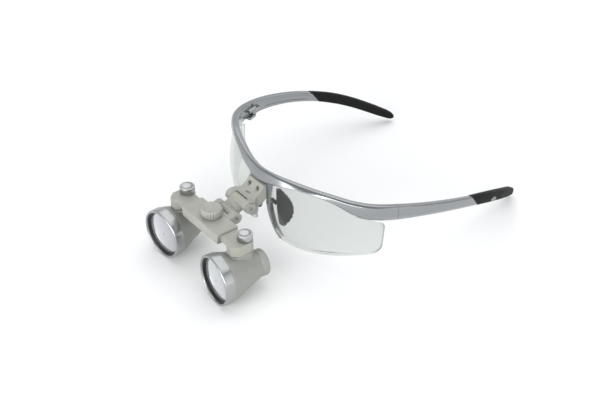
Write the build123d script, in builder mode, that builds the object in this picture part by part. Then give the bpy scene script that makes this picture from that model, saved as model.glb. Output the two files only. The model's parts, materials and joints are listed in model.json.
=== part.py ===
from build123d import *
import os
from math import asin, cos, pi, radians, sin

# Dental loupes: a pair of Galilean telescopes on a flip-up bridge bracket, carried by a
# half-rim spectacle frame with two clear lenses, folding temples and rubber temple tips.
# Millimetres. +X is the wearer's left, -Y is the way the wearer looks, +Z is up. The loupes
# stand on z = 0 on the two front rings and the two temple tips, and the origin is at the
# centre of that footprint.

# ---- Brow bar and temples: one side line from the bridge to the temple tip ----
BRIDGE_TOP = (0, -49.6, 50.4)
SEAM = (67.6, -8.0, 42.9)            # where the front ends and the temple begins
SEAM_RUN = (0.317, 0.936, -0.154)    # direction of the side line at the seam
SEAM_GAP = 0.1
BROW_POINTS = [BRIDGE_TOP, (24, -42.8, 50.9), (45, -33.1, 50.0), (60.3, -21.5, 45.8), SEAM]
TEMPLE_POINTS = [
    SEAM,
    (72.0, 15.0, 38.3),
    (72.0, 41.0, 31.1),
    (66.0, 70.0, 19.4),
    (53.4, 98.6, 3.5),
]
TIP_RUN = (-0.38, 0.82, -0.43)
TIP_START = (71.4, 45.5, 29.6)       # metal ends and rubber begins here
TIP_SLANT = 35                       # lean of that joint, degrees
TIP_GAP = 0.05

# ---- Clear lenses: spherical shells of base curve 8.5 ----
LENS_CENTRE = (10.3, 13.5, 29.7)
LENS_RADIUS = 62.0
LENS_THICKNESS = 2.0
LENS_TURN = 34                       # turn of the lens outline about Z, degrees

# ---- Bridge bracket ----
WEB_FRONT_Y = -49.8                  # front face of the frame's web, where the clamp sits
WEB_BACK_Y = -46.8
FLIP_Y, FLIP_Z = -62.8, 36.6         # flip hinge axis, along X
TILT_Y, TILT_Z = -71.2, 33.0         # tilt hinge axis, along X
KNUCKLE_RADIUS = 3.2
KNUCKLE_INNER_X = 5.15
KNUCKLE_OUTER_X = 9.2
LINK_HALF_WIDTH = 5.05
PIN_RADIUS = 1.1
PIN_CLEARANCE = 0.05
CLAMP_SCREW_X = 3.6
CLAMP_SCREW_Z = 42.2

# ---- Arm housing with rack and pinion ----
HOUSING_HALF_WIDTH = 17.0
HOUSING_FRONT_Y, HOUSING_BACK_Y = -89.8, -76.0
HOUSING_TOP_Z = 35.2
COVER_TOP_Z, COVER_BOTTOM_Z = 30.35, 28.8
CHANNEL_BACK_Y, CHANNEL_FRONT_Y = -76.8, -87.5
CHANNEL_TOP_Z = 33.95
SLIDE_CLEARANCE = 0.05
KNOB_Y = -81.3
KNOB_RADIUS = 5.9
KNOB_TOP_Z = 40.2
KNOB_RIDGES = 24
PITCH_RADIUS = 2.5                   # pinion pitch circle, so 1 rad moves each arm 2.5 mm
PINION_TEETH = 10
TOOTH_PITCH = 2 * pi * PITCH_RADIUS / PINION_TEETH

# ---- Barrels ----
PIVOT_X, PIVOT_Y = 27.3, -79.0       # upright pivot of each barrel
AXIS_Z = 14.5                        # barrel axis height, so the front rings touch z = 0
TOE_IN = 4.8                         # convergence of each barrel at rest, degrees
RING_FRONT, RING_BACK = -20.3, -14.3     # along the barrel axis, from the pivot
RING_RADIUS = 14.5
RING_BORE = 13.1
BARREL_BACK = 6.8
EYEPIECE_BACK = 11.3
LUG_BOTTOM_Z, LUG_TOP_Z = 27.9, 34.0
SADDLE_TOP_Z = 27.6
LUG_RADIUS = 4.4
LUG_FRONT = -10.3

os.makedirs("parts", exist_ok=True)


def save(piece, name):
    """Label a finished piece and write it as its own STEP file."""
    piece.label = name
    export_step(piece, f"parts/{name}.step")


def mirrored(piece):
    """The same piece on the other side of the middle plane."""
    with BuildPart() as twin:
        mirror(piece, about=Plane.YZ)
    return twin.part


def save_pair(piece, name):
    """Write a left piece and its mirrored right twin."""
    save(mirrored(piece), f"{name}_right")
    save(piece, f"{name}_left")


# =====================================================================
# Nose pads, each with a lug pinned to the back of its strut
# =====================================================================
PAD_ORIGIN = (9.4, -45.4, 31.0)
PAD_SPLAY = 65                       # turn of the pad away from the nose bridge line, degrees
PAD_THICKNESS = 2.2
PAD_SCALLOPS = 10
PAD_SCALLOP_RADIUS = 1.55
PAD_LUG_HEIGHT = 2.6
PAD_LUG_FRONT_Y, PAD_LUG_STEP_Y, PAD_LUG_BACK_Y = -46.9, -46.1, -44.8
PAD_PIN_X, PAD_PIN_Z = 7.1, 33.0
PAD_PIN_FRONT_Y, PAD_PIN_BACK_Y = -49.6, -45.3
PAD_PIN_RADIUS = 0.45
PAD_PIN_HEAD = 0.85
PAD_PIN_HEAD_DEPTH = 0.45
PAD_PLANE = Plane(
    origin=PAD_ORIGIN,
    x_dir=(cos(radians(PAD_SPLAY)), sin(radians(PAD_SPLAY)), 0),
    z_dir=(sin(radians(PAD_SPLAY)), -cos(radians(PAD_SPLAY)), 0),
)
with BuildLine(mode=Mode.PRIVATE) as pad_rim:
    Spline((1.4, 10.0), (6.0, 3.6), (8.8, -4.0), (7.6, -9.6), (3.6, -14.0))

with BuildPart() as pad_pin:
    with BuildSketch(Plane(origin=(PAD_PIN_X, PAD_PIN_FRONT_Y, PAD_PIN_Z), z_dir=(0, 1, 0))):
        Circle(PAD_PIN_RADIUS)
    extrude(amount=PAD_PIN_BACK_Y - PAD_PIN_FRONT_Y)
    with BuildSketch(Plane(origin=(PAD_PIN_X, PAD_PIN_FRONT_Y, PAD_PIN_Z), z_dir=(0, 1, 0))):
        Circle(PAD_PIN_HEAD)
    extrude(amount=PAD_PIN_HEAD_DEPTH)

with BuildPart() as nose_pad:
    with BuildSketch(PAD_PLANE):
        with BuildLine():
            add(pad_rim.line)
            Line((3.6, -14.0), (1.9, -13.0))
            Spline((1.9, -13.0), (0.9, -4.0), (0.6, 10.6))
            Line((0.6, 10.6), (1.4, 10.0))
        make_face()
        for i in range(PAD_SCALLOPS):
            with Locations(pad_rim.line @ ((i + 0.5) / PAD_SCALLOPS)):
                Circle(PAD_SCALLOP_RADIUS)
    extrude(amount=PAD_THICKNESS / 2, both=True)
    with BuildSketch(Plane.XY.offset(PAD_PIN_Z)):
        with BuildLine():
            Polyline(
                (6.0, PAD_LUG_FRONT_Y),
                (7.6, PAD_LUG_FRONT_Y),
                (7.6, PAD_LUG_STEP_Y),
                (10.2, PAD_LUG_STEP_Y),
                (10.2, PAD_LUG_BACK_Y),
                (6.0, PAD_LUG_BACK_Y),
                close=True,
            )
        make_face()
    extrude(amount=PAD_LUG_HEIGHT / 2, both=True)
    add(pad_pin.part, mode=Mode.SUBTRACT)
save_pair(nose_pad.part, "nose_pad")

with BuildPart() as nose_pad_pins:
    add(pad_pin.part)
    add(mirrored(pad_pin.part))
save(nose_pad_pins.part, "nose_pad_pins")


# =====================================================================
# Clear lenses
# =====================================================================
LENS_PLANE = Plane(
    origin=LENS_CENTRE,
    x_dir=(cos(radians(LENS_TURN)), sin(radians(LENS_TURN)), 0),
    z_dir=(sin(radians(LENS_TURN)), -cos(radians(LENS_TURN)), 0),
)

with BuildPart() as lens:
    with BuildSketch(LENS_PLANE):
        with BuildLine():
            Spline((-30.7, -20.1), (-16.8, -19.6), (1.5, -16.9), (23.0, -13.9))
            ThreePointArc((23.0, -13.9), (27.4, -12.0), (29.0, -7.8))
            Line((29.0, -7.8), (29.7, 3.6))
            ThreePointArc((29.7, 3.6), (29.0, 6.2), (26.5, 7.4))
            Line((26.5, 7.4), (16.6, 10.6))
            Spline((16.6, 10.6), (12.0, 16.6), (-5.0, 20.3), (-22.0, 20.1), (-35.6, 16.0))
            Spline((-35.6, 16.0), (-36.7, -1.0), (-35.3, -10.0), (-33.3, -15.8))
            ThreePointArc((-33.3, -15.8), (-32.6, -18.6), (-30.7, -20.1))
        make_face()
    extrude(amount=LENS_RADIUS + 5)
    with Locations(LENS_CENTRE):
        Sphere(LENS_RADIUS, mode=Mode.INTERSECT)
        Sphere(LENS_RADIUS - LENS_THICKNESS, mode=Mode.SUBTRACT)
    # Notch at the nose edge for the pad's lug and its pin.
    for fitted in (nose_pad, pad_pin):
        add(fitted.part, mode=Mode.SUBTRACT)


# =====================================================================
# Front frame: brow bar, nose web, nose struts and hinge knuckles
# =====================================================================
with BuildLine() as brow:
    Spline(BROW_POINTS, tangents=[(1, 0, 0), SEAM_RUN])

with BuildLine() as side:
    Spline(TEMPLE_POINTS, tangents=[SEAM_RUN, TIP_RUN])


def cross_plane(line, t):
    """Upright plane across a side line: its X points outward and its Y points up."""
    spot = line @ t
    run = line % t
    level = Vector(run.X, run.Y, 0).normalized()
    return Plane(origin=spot, x_dir=(level.Y, -level.X, 0), z_dir=(-level.X, -level.Y, 0))


def bar_outline(outer, lean, inner, top, ledge, bottom, corner):
    """Closed eight-corner outline: a leaning outer face, a chamfered top, a lower bevel."""
    bevel = 0.35 * (ledge - bottom)
    Polyline(
        (outer, top - corner),
        (outer - corner, top),
        (inner + corner, top - 0.2),
        (inner, top - corner - 0.2),
        (inner, bottom + corner),
        (inner + corner, bottom),
        (outer + lean - bevel - 0.3, bottom),
        (outer + lean, ledge),
        close=True,
    )


# Columns: place along the line, outer face, its lean, inner face, top, lower ledge, bottom, corner.
BROW_SECTIONS = [
    (0.00, -0.8, 2.2, -4.0, 1.7, -4.4, -5.2, 1.0),
    (0.10, -0.4, 1.8, -3.7, 1.8, -3.4, -4.2, 1.0),
    (0.18, 0.3, 1.6, -3.3, 1.6, -2.4, -3.1, 0.9),
    (0.34, 1.3, 1.0, -2.7, 0.9, -1.0, -1.8, 0.8),
    (0.48, 1.6, 0.7, -2.4, 0.8, -1.2, -2.0, 0.8),
    (0.58, 1.7, 0.5, -2.4, 1.3, -1.7, -2.6, 0.8),
    (0.66, 1.8, 0.4, -2.5, 1.9, -2.1, -4.4, 0.9),
    (0.74, 1.8, 0.3, -2.6, 2.8, -2.0, -6.3, 1.0),
    (0.83, 1.6, 0.2, -2.8, 3.7, -1.8, -6.0, 1.0),
    (0.91, 1.4, 0.1, -3.0, 4.2, -1.8, -5.4, 1.0),
    (1.00, 1.1, 0.0, -3.2, 4.3, -1.9, -5.1, 1.0),
]
# Centres of the nose strut from the bridge down to the lens's lower nose corner.
STRUT_POINTS = [
    (7.3, -46.5, 47.5),
    (7.2, -46.4, 34.2),
    (7.7, -45.6, 25.8),
    (9.0, -44.6, 19.2),
    (11.2, -43.7, 14.0),
    (13.6, -43.1, 11.0),
]
STRUT_WIDTHS = [2.8, 2.8, 2.7, 2.6, 2.8, 2.2]
STRUT_DEPTH = 6.0
STRUT_COVER = 0.9                    # strut left behind the lens that it holds
WEB_HALF_WIDTH = 7.4
WEB_BOTTOM_Z = 36.0

HINGE_X, HINGE_Y = 64.4, -6.7
HINGE_KNUCKLE = 1.8
HINGE_GAP = 0.15
HINGE_LEVELS = (38.2, 40.0, 42.9, 44.7)    # lower knuckle, temple knuckle, upper knuckle
HINGE_SCREW = 0.75
SCREW_HEAD = 1.15
SCREW_HEAD_HEIGHT = 0.7
UPPER_MID = (HINGE_LEVELS[2] + HINGE_LEVELS[3]) / 2
LOWER_MID = (HINGE_LEVELS[0] + HINGE_LEVELS[1]) / 2
TEMPLE_MID = (HINGE_LEVELS[1] + HINGE_LEVELS[2]) / 2
FRAME_KNUCKLE_HEIGHT = HINGE_LEVELS[1] - HINGE_LEVELS[0]
TEMPLE_KNUCKLE_HEIGHT = HINGE_LEVELS[2] - HINGE_LEVELS[1] - 2 * HINGE_GAP
SEAM_TURN = 71.3                            # heading of the side line at the seam, degrees from +X

with BuildPart() as strut:
    for point, width in zip(STRUT_POINTS, STRUT_WIDTHS):
        with BuildSketch(Plane.XY.move(Location(point))):
            RectangleRounded(width, STRUT_DEPTH, 0.6)
    loft()
    with Locations(LENS_CENTRE):
        Sphere(LENS_RADIUS - LENS_THICKNESS - STRUT_COVER, mode=Mode.SUBTRACT)

with BuildPart() as front_half:
    for t, *sizes in BROW_SECTIONS:
        with BuildSketch(cross_plane(brow.line, t)):
            with BuildLine():
                bar_outline(*sizes)
            make_face()
    loft()
    add(strut.part)
    with Locations((0, (WEB_FRONT_Y + WEB_BACK_Y) / 2, (WEB_BOTTOM_Z + 48) / 2)):
        Box(2 * WEB_HALF_WIDTH, WEB_BACK_Y - WEB_FRONT_Y, 48 - WEB_BOTTOM_Z)
    # Room for the temple's middle knuckle, then the two knuckles that hold its screw.
    with Locations((HINGE_X, HINGE_Y, TEMPLE_MID)):
        Cylinder(HINGE_KNUCKLE + HINGE_GAP, TEMPLE_KNUCKLE_HEIGHT + 2 * HINGE_GAP, mode=Mode.SUBTRACT)
    for level in (LOWER_MID, UPPER_MID):
        with BuildSketch(Plane.XY.offset(level)):
            with Locations((HINGE_X, HINGE_Y)):
                Circle(HINGE_KNUCKLE)
            with Locations(Location((HINGE_X, HINGE_Y, 0), SEAM_TURN)):
                Rectangle(5.5, 2 * HINGE_KNUCKLE, align=(Align.MAX, Align.CENTER))
        extrude(amount=FRAME_KNUCKLE_HEIGHT / 2, both=True)
    with Locations((HINGE_X, HINGE_Y, TEMPLE_MID)):
        Cylinder(HINGE_SCREW, 12, mode=Mode.SUBTRACT)
    with Locations((HINGE_X, HINGE_Y, HINGE_LEVELS[3])):
        Cylinder(SCREW_HEAD, 2 * SCREW_HEAD_HEIGHT, mode=Mode.SUBTRACT)
    split(bisect_by=Plane.YZ, keep=Keep.TOP)
    for fitted in (lens, nose_pad, pad_pin):
        add(fitted.part, mode=Mode.SUBTRACT)

with BuildPart() as front_frame:
    add(front_half.part)
    mirror(front_half.part, about=Plane.YZ)
    for x in (-CLAMP_SCREW_X, CLAMP_SCREW_X):
        with BuildSketch(Plane.XZ.offset(-WEB_FRONT_Y + 1)):
            with Locations((x, CLAMP_SCREW_Z)):
                Circle(0.9)
        extrude(amount=-6, mode=Mode.SUBTRACT)

save(front_frame.part, "front_frame")
save_pair(lens.part, "lens")


# =====================================================================
# Hinge screws, temples, rubber tips and their badges
# =====================================================================
with BuildPart() as hinge_screw:
    with BuildSketch(Plane.XY.offset(HINGE_LEVELS[0] + 0.2)):
        with Locations((HINGE_X, HINGE_Y)):
            Circle(HINGE_SCREW - PIN_CLEARANCE)
    extrude(amount=HINGE_LEVELS[3] - HINGE_LEVELS[0] - 0.2)
    with BuildSketch(Plane.XY.offset(HINGE_LEVELS[3])):
        with Locations((HINGE_X, HINGE_Y)):
            Circle(SCREW_HEAD)
    extrude(amount=-SCREW_HEAD_HEIGHT)
    with BuildSketch(Plane.XY.offset(HINGE_LEVELS[3])):
        with Locations((HINGE_X, HINGE_Y)):
            Rectangle(3, 0.35)
    extrude(amount=-0.3, mode=Mode.SUBTRACT)
save_pair(hinge_screw.part, "hinge_screw")

# Columns as for the brow bar; the temple narrows towards the joint with the rubber.
TEMPLE_SECTIONS = [
    (0.00, 1.1, 0.0, -3.2, 4.3, -1.9, -5.1, 1.0),
    (0.09, 1.3, 0.0, -2.8, 4.0, -1.9, -4.4, 0.9),
    (0.25, 1.7, 0.0, -2.2, 3.5, -1.9, -3.7, 0.8),
    (0.40, 1.8, 0.0, -1.9, 3.3, -1.9, -3.4, 0.8),
    (0.52, 1.8, 0.0, -1.8, 3.2, -1.9, -3.3, 0.8),
]
# Columns: place along the line, half width, half height of the core inside the rubber.
CORE_SECTIONS = [(0.42, 0.9, 1.9), (0.62, 0.9, 1.9), (0.80, 0.8, 1.6)]
# Columns: place along the line, half width, half height of the rubber.
RUBBER_SECTIONS = [
    (0.36, 2.0, 3.3),
    (0.48, 2.1, 3.4),
    (0.60, 2.3, 3.5),
    (0.75, 2.5, 3.4),
    (0.88, 2.6, 3.2),
    (0.96, 2.4, 2.7),
]
RUBBER_END = [(0.96, 2.4, 2.7), (0.985, 1.9, 2.1), (1.00, 0.9, 1.0)]
RECESS_SECTIONS = [(0.11, 2.3, 2.0), (0.25, 1.9, 1.7), (0.42, 1.8, 1.5)]
RECESS_DEPTH = 0.5

TIP_PLANE = Plane(
    origin=TIP_START,
    x_dir=(1, 0, 0),
    z_dir=(0, cos(radians(TIP_SLANT)), sin(radians(TIP_SLANT))),
)


def oval_section(half_width, half_height):
    """Rounded eight-corner outline of the rubber and its core."""
    chamfer_x = half_width * 0.45
    chamfer_y = half_height * 0.30
    Polyline(
        (half_width, half_height - chamfer_y),
        (half_width - chamfer_x, half_height),
        (chamfer_x - half_width, half_height),
        (-half_width, half_height - chamfer_y),
        (-half_width, chamfer_y - half_height),
        (chamfer_x - half_width, -half_height),
        (half_width - chamfer_x, -half_height),
        (half_width, chamfer_y - half_height),
        close=True,
    )


with BuildPart() as temple_core:
    for t, half_width, half_height in CORE_SECTIONS:
        with BuildSketch(cross_plane(side.line, t)):
            with BuildLine():
                oval_section(half_width, half_height)
            make_face()
    loft()

with BuildPart() as temple:
    for t, *sizes in TEMPLE_SECTIONS:
        with BuildSketch(cross_plane(side.line, t)):
            with BuildLine():
                bar_outline(*sizes)
            make_face()
    loft()
    split(bisect_by=TIP_PLANE, keep=Keep.BOTTOM)
    add(temple_core.part)
    # Shallow panel along the inner face.
    for t, inner, half_height in RECESS_SECTIONS:
        with BuildSketch(cross_plane(side.line, t)):
            with Locations((-inner - 1 + RECESS_DEPTH, 0)):
                Rectangle(2, 2 * half_height)
    loft(mode=Mode.SUBTRACT)
    # Gap at the seam and room for the frame's two knuckles.
    with BuildSketch(Plane.XY.offset(HINGE_LEVELS[0] - 10)):
        with Locations(Location((SEAM[0], SEAM[1], 0), SEAM_TURN)):
            Rectangle(5 + SEAM_GAP, 20, align=(Align.MAX, Align.CENTER))
            with Locations((SEAM_GAP, 0)):
                Rectangle(5, 20, align=(Align.MAX, Align.CENTER))
    extrude(amount=30, mode=Mode.SUBTRACT)
    for level in (LOWER_MID, UPPER_MID):
        with Locations((HINGE_X, HINGE_Y, level)):
            Cylinder(HINGE_KNUCKLE + 0.2, FRAME_KNUCKLE_HEIGHT + 4 * HINGE_GAP, mode=Mode.SUBTRACT)
    with BuildSketch(Plane.XY.offset(TEMPLE_MID)):
        with Locations((HINGE_X, HINGE_Y)):
            Circle(HINGE_KNUCKLE)
        with Locations(Location((HINGE_X, HINGE_Y, 0), SEAM_TURN)):
            Rectangle(6, 2 * HINGE_KNUCKLE, align=(Align.MIN, Align.CENTER))
    extrude(amount=TEMPLE_KNUCKLE_HEIGHT / 2, both=True)
    with Locations((HINGE_X, HINGE_Y, TEMPLE_MID)):
        Cylinder(HINGE_SCREW, 12, mode=Mode.SUBTRACT)
save_pair(temple.part, "temple")

# Small oval badge let into the outer face of the rubber.
BADGE_SPOT = 0.645
BADGE_DROP = -1.1
BADGE_FACE = 2.35                    # outer face of the rubber at the badge, from the side line
badge_cross = cross_plane(side.line, BADGE_SPOT)
BADGE_PLANE = Plane(
    origin=badge_cross.origin + badge_cross.x_dir * BADGE_FACE,
    x_dir=side.line % BADGE_SPOT,
    z_dir=badge_cross.x_dir,
)
with BuildPart() as temple_badge:
    with BuildSketch(BADGE_PLANE.offset(-0.4)):
        with Locations((0, BADGE_DROP)):
            Ellipse(3.2, 1.4)
    extrude(amount=0.6)
save_pair(temple_badge.part, "temple_badge")

with BuildPart() as temple_tip:
    for sections in (RUBBER_SECTIONS, RUBBER_END):
        for t, half_width, half_height in sections:
            with BuildSketch(cross_plane(side.line, t)):
                with BuildLine():
                    oval_section(half_width, half_height)
                make_face()
        loft()
    split(bisect_by=TIP_PLANE.offset(TIP_GAP), keep=Keep.TOP)
    add(temple_core.part, mode=Mode.SUBTRACT)
    add(temple_badge.part, mode=Mode.SUBTRACT)
save_pair(temple_tip.part, "temple_tip")


# =====================================================================
# Bridge clamp, back plate and their two screws
# =====================================================================
def side_sketch_plane(x):
    """Upright plane across X: its X is the object's Y and its Y is the object's Z."""
    return Plane(origin=(x, 0, 0), x_dir=(0, 1, 0), z_dir=(1, 0, 0))


CLAMP_PLATE_HALF = 6.9
CLAMP_SCREW_RADIUS = 0.9
CLAMP_HEAD_RADIUS = 1.35
CLAMP_HEAD_Y = -52.0
BACK_PLATE_Y = -45.6

with BuildPart() as bridge_clamp:
    # Screw plate and the cradle that carries the hinge, as one side profile.
    with BuildSketch(side_sketch_plane(0)):
        with BuildLine():
            Polyline((-49.8, 36.2), (-49.8, 44.8), (-51.2, 44.8), (-54.2, 41.4))
            ThreePointArc((-54.2, 41.4), (-56.4, 40.0), (-59.0, 39.5))
            Line((-59.0, 39.5), (FLIP_Y, FLIP_Z + KNUCKLE_RADIUS))
            Line((FLIP_Y, FLIP_Z + KNUCKLE_RADIUS), (FLIP_Y, FLIP_Z - KNUCKLE_RADIUS))
            Line((FLIP_Y, FLIP_Z - KNUCKLE_RADIUS), (-58.0, 33.4))
            ThreePointArc((-58.0, 33.4), (-53.0, 33.9), (-49.8, 36.2))
        make_face()
    extrude(amount=KNUCKLE_OUTER_X, both=True)
    with BuildSketch(side_sketch_plane(0)):
        with Locations((FLIP_Y, FLIP_Z)):
            Circle(KNUCKLE_RADIUS)
    extrude(amount=KNUCKLE_OUTER_X, both=True)
    # The screw plate is narrower than the hinge: shoulders sweep in on both sides.
    for x_sign in (-1, 1):
        plate_edge = x_sign * CLAMP_PLATE_HALF
        with BuildSketch(Plane.XY.offset(30)):
            with BuildLine():
                Polyline((x_sign * 12, -48), (plate_edge, -48), (plate_edge, -54.6))
                ThreePointArc((plate_edge, -54.6), (x_sign * 7.6, -57.4), (x_sign * 9.4, -59.2))
                Polyline((x_sign * 9.4, -59.2), (x_sign * 12, -59.2), (x_sign * 12, -48))
            make_face()
        extrude(amount=20, mode=Mode.SUBTRACT)
    # Slot for the link and a bore for the pin.
    with BuildSketch(side_sketch_plane(0)):
        with Locations((FLIP_Y, FLIP_Z)):
            Circle(KNUCKLE_RADIUS + 0.35)
    extrude(amount=KNUCKLE_INNER_X, both=True, mode=Mode.SUBTRACT)
    with BuildSketch(side_sketch_plane(-KNUCKLE_OUTER_X + 0.9)):
        with Locations((FLIP_Y, FLIP_Z)):
            Circle(PIN_RADIUS)
    extrude(amount=20, mode=Mode.SUBTRACT)
    # Oval thumb recess and the two counterbored screw holes.
    with BuildSketch(Plane.XY.offset(45)):
        with Locations((0, -57.0)):
            Ellipse(2.0, 0.9)
    extrude(amount=-6.0, mode=Mode.SUBTRACT)
    for x in (-CLAMP_SCREW_X, CLAMP_SCREW_X):
        with BuildSketch(Plane.XZ.offset(60)):
            with Locations((x, CLAMP_SCREW_Z)):
                Circle(CLAMP_HEAD_RADIUS + 0.05)
        extrude(amount=-(60 + CLAMP_HEAD_Y), mode=Mode.SUBTRACT)
        with BuildSketch(Plane.XZ.offset(60)):
            with Locations((x, CLAMP_SCREW_Z)):
                Circle(CLAMP_SCREW_RADIUS)
        extrude(amount=-15, mode=Mode.SUBTRACT)
save(bridge_clamp.part, "bridge_clamp")

with BuildPart() as clamp_back_plate:
    with BuildSketch(Plane.XZ.offset(-WEB_BACK_Y)):
        with Locations((0, CLAMP_SCREW_Z)):
            RectangleRounded(10.0, 4.6, 1.2)
        with Locations((-CLAMP_SCREW_X, CLAMP_SCREW_Z), (CLAMP_SCREW_X, CLAMP_SCREW_Z)):
            Circle(CLAMP_SCREW_RADIUS, mode=Mode.SUBTRACT)
    extrude(amount=-(BACK_PLATE_Y - WEB_BACK_Y))
save(clamp_back_plate.part, "clamp_back_plate")

with BuildPart() as clamp_screws:
    for x in (-CLAMP_SCREW_X, CLAMP_SCREW_X):
        with BuildSketch(Plane.XZ.offset(-CLAMP_HEAD_Y)):
            with Locations((x, CLAMP_SCREW_Z)):
                Circle(CLAMP_SCREW_RADIUS)
        extrude(amount=CLAMP_HEAD_Y - BACK_PLATE_Y)
        with BuildSketch(Plane.XZ.offset(-CLAMP_HEAD_Y)):
            with Locations((x, CLAMP_SCREW_Z)):
                Circle(CLAMP_HEAD_RADIUS)
        extrude(amount=1.0)
        with BuildSketch(Plane.XZ.offset(-CLAMP_HEAD_Y + 1.0)):
            with Locations((x, CLAMP_SCREW_Z)):
                RegularPolygon(0.75, 6)
        extrude(amount=-0.7, mode=Mode.SUBTRACT)
save(clamp_screws.part, "clamp_screws")


# =====================================================================
# Flip link with its two hinge pins
# =====================================================================
LINK_WEB = 2.1                       # half thickness of the link between its knuckles
LINK_KNUCKLE = 3.05
LINK_TURN = 23.2                     # slope of the link at rest, degrees
LINK_LENGTH = 9.14
LINK_PLANE = Plane(
    origin=(0, TILT_Y, TILT_Z),
    x_dir=(0, cos(radians(LINK_TURN)), sin(radians(LINK_TURN))),
    z_dir=(1, 0, 0),
)

with BuildPart() as flip_link:
    with BuildSketch(LINK_PLANE):
        with Locations((0, 0), (LINK_LENGTH, 0)):
            Circle(LINK_KNUCKLE)
        with Locations((LINK_LENGTH / 2, 0)):
            Rectangle(LINK_LENGTH, 2 * LINK_WEB)
        with Locations((0, 0), (LINK_LENGTH, 0)):
            Circle(PIN_RADIUS + PIN_CLEARANCE, mode=Mode.SUBTRACT)
    extrude(amount=LINK_HALF_WIDTH, both=True)
    # Stop tab on top, between the knuckles.
    with BuildSketch(LINK_PLANE.offset(1.0)):
        with Locations((LINK_LENGTH / 2, LINK_WEB)):
            Rectangle(2.2, 1.4)
    extrude(amount=3.4)
save(flip_link.part, "flip_link")

WHEEL_RADIUS = 3.1
WHEEL_NOTCHES = 12
WHEEL_THICKNESS = 1.3

with BuildPart() as flip_pin:
    with BuildSketch(side_sketch_plane(-KNUCKLE_OUTER_X + 1.0)):
        with Locations((FLIP_Y, FLIP_Z)):
            Circle(PIN_RADIUS)
    extrude(amount=2 * KNUCKLE_OUTER_X - 1.0 + WHEEL_THICKNESS + 0.35)
    with BuildSketch(side_sketch_plane(KNUCKLE_OUTER_X + WHEEL_THICKNESS + 0.35)):
        with Locations((FLIP_Y, FLIP_Z)):
            RegularPolygon(0.6, 6)
    extrude(amount=-0.5, mode=Mode.SUBTRACT)
save(flip_pin.part, "flip_pin")

with BuildPart() as flip_detent_wheel:
    with BuildSketch(side_sketch_plane(KNUCKLE_OUTER_X + 0.1)):
        with Locations((FLIP_Y, FLIP_Z)):
            Circle(WHEEL_RADIUS)
            with PolarLocations(WHEEL_RADIUS, WHEEL_NOTCHES):
                Circle(0.45, mode=Mode.SUBTRACT)
            Circle(PIN_RADIUS, mode=Mode.SUBTRACT)
    extrude(amount=WHEEL_THICKNESS)
    with BuildSketch(side_sketch_plane(KNUCKLE_OUTER_X + 0.1 + WHEEL_THICKNESS)):
        with Locations((FLIP_Y, FLIP_Z)):
            with PolarLocations(1.85, 8):
                Circle(0.28)
    extrude(amount=-0.3, mode=Mode.SUBTRACT)
save(flip_detent_wheel.part, "flip_detent_wheel")

with BuildPart() as tilt_pin:
    with BuildSketch(side_sketch_plane(-KNUCKLE_OUTER_X - 0.3)):
        with Locations((TILT_Y, TILT_Z)):
            Circle(PIN_RADIUS)
    extrude(amount=2 * KNUCKLE_OUTER_X + 0.6)
    for x, depth in ((-KNUCKLE_OUTER_X - 0.3, 0.5), (KNUCKLE_OUTER_X + 0.3, -0.5)):
        with BuildSketch(side_sketch_plane(x)):
            with Locations((TILT_Y, TILT_Z)):
                Circle(0.6)
        extrude(amount=depth, mode=Mode.SUBTRACT)
save(tilt_pin.part, "tilt_pin")

WASHER_RADIUS = 1.9
WASHER_DEPTH = 0.35
with BuildPart() as tilt_washers:
    for x in (-KNUCKLE_OUTER_X, KNUCKLE_OUTER_X - WASHER_DEPTH):
        with BuildSketch(side_sketch_plane(x)):
            with Locations((TILT_Y, TILT_Z)):
                Circle(WASHER_RADIUS)
                Circle(PIN_RADIUS, mode=Mode.SUBTRACT)
        extrude(amount=WASHER_DEPTH)
save(tilt_washers.part, "tilt_washers")


# =====================================================================
# Housing, cover, cover screws, knob and pinion
# =====================================================================
HOUSING_MID_Y = (HOUSING_FRONT_Y + HOUSING_BACK_Y) / 2
HOUSING_DEPTH = HOUSING_BACK_Y - HOUSING_FRONT_Y
CHANNEL_MID_Y = (CHANNEL_FRONT_Y + CHANNEL_BACK_Y) / 2
CHANNEL_DEPTH = CHANNEL_BACK_Y - CHANNEL_FRONT_Y
SHAFT_RADIUS = 1.5
COVER_SCREW_SPOTS = [(-13.2, -88.65), (13.2, -88.65)]
COVER_SCREW_RADIUS = 0.6

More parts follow.
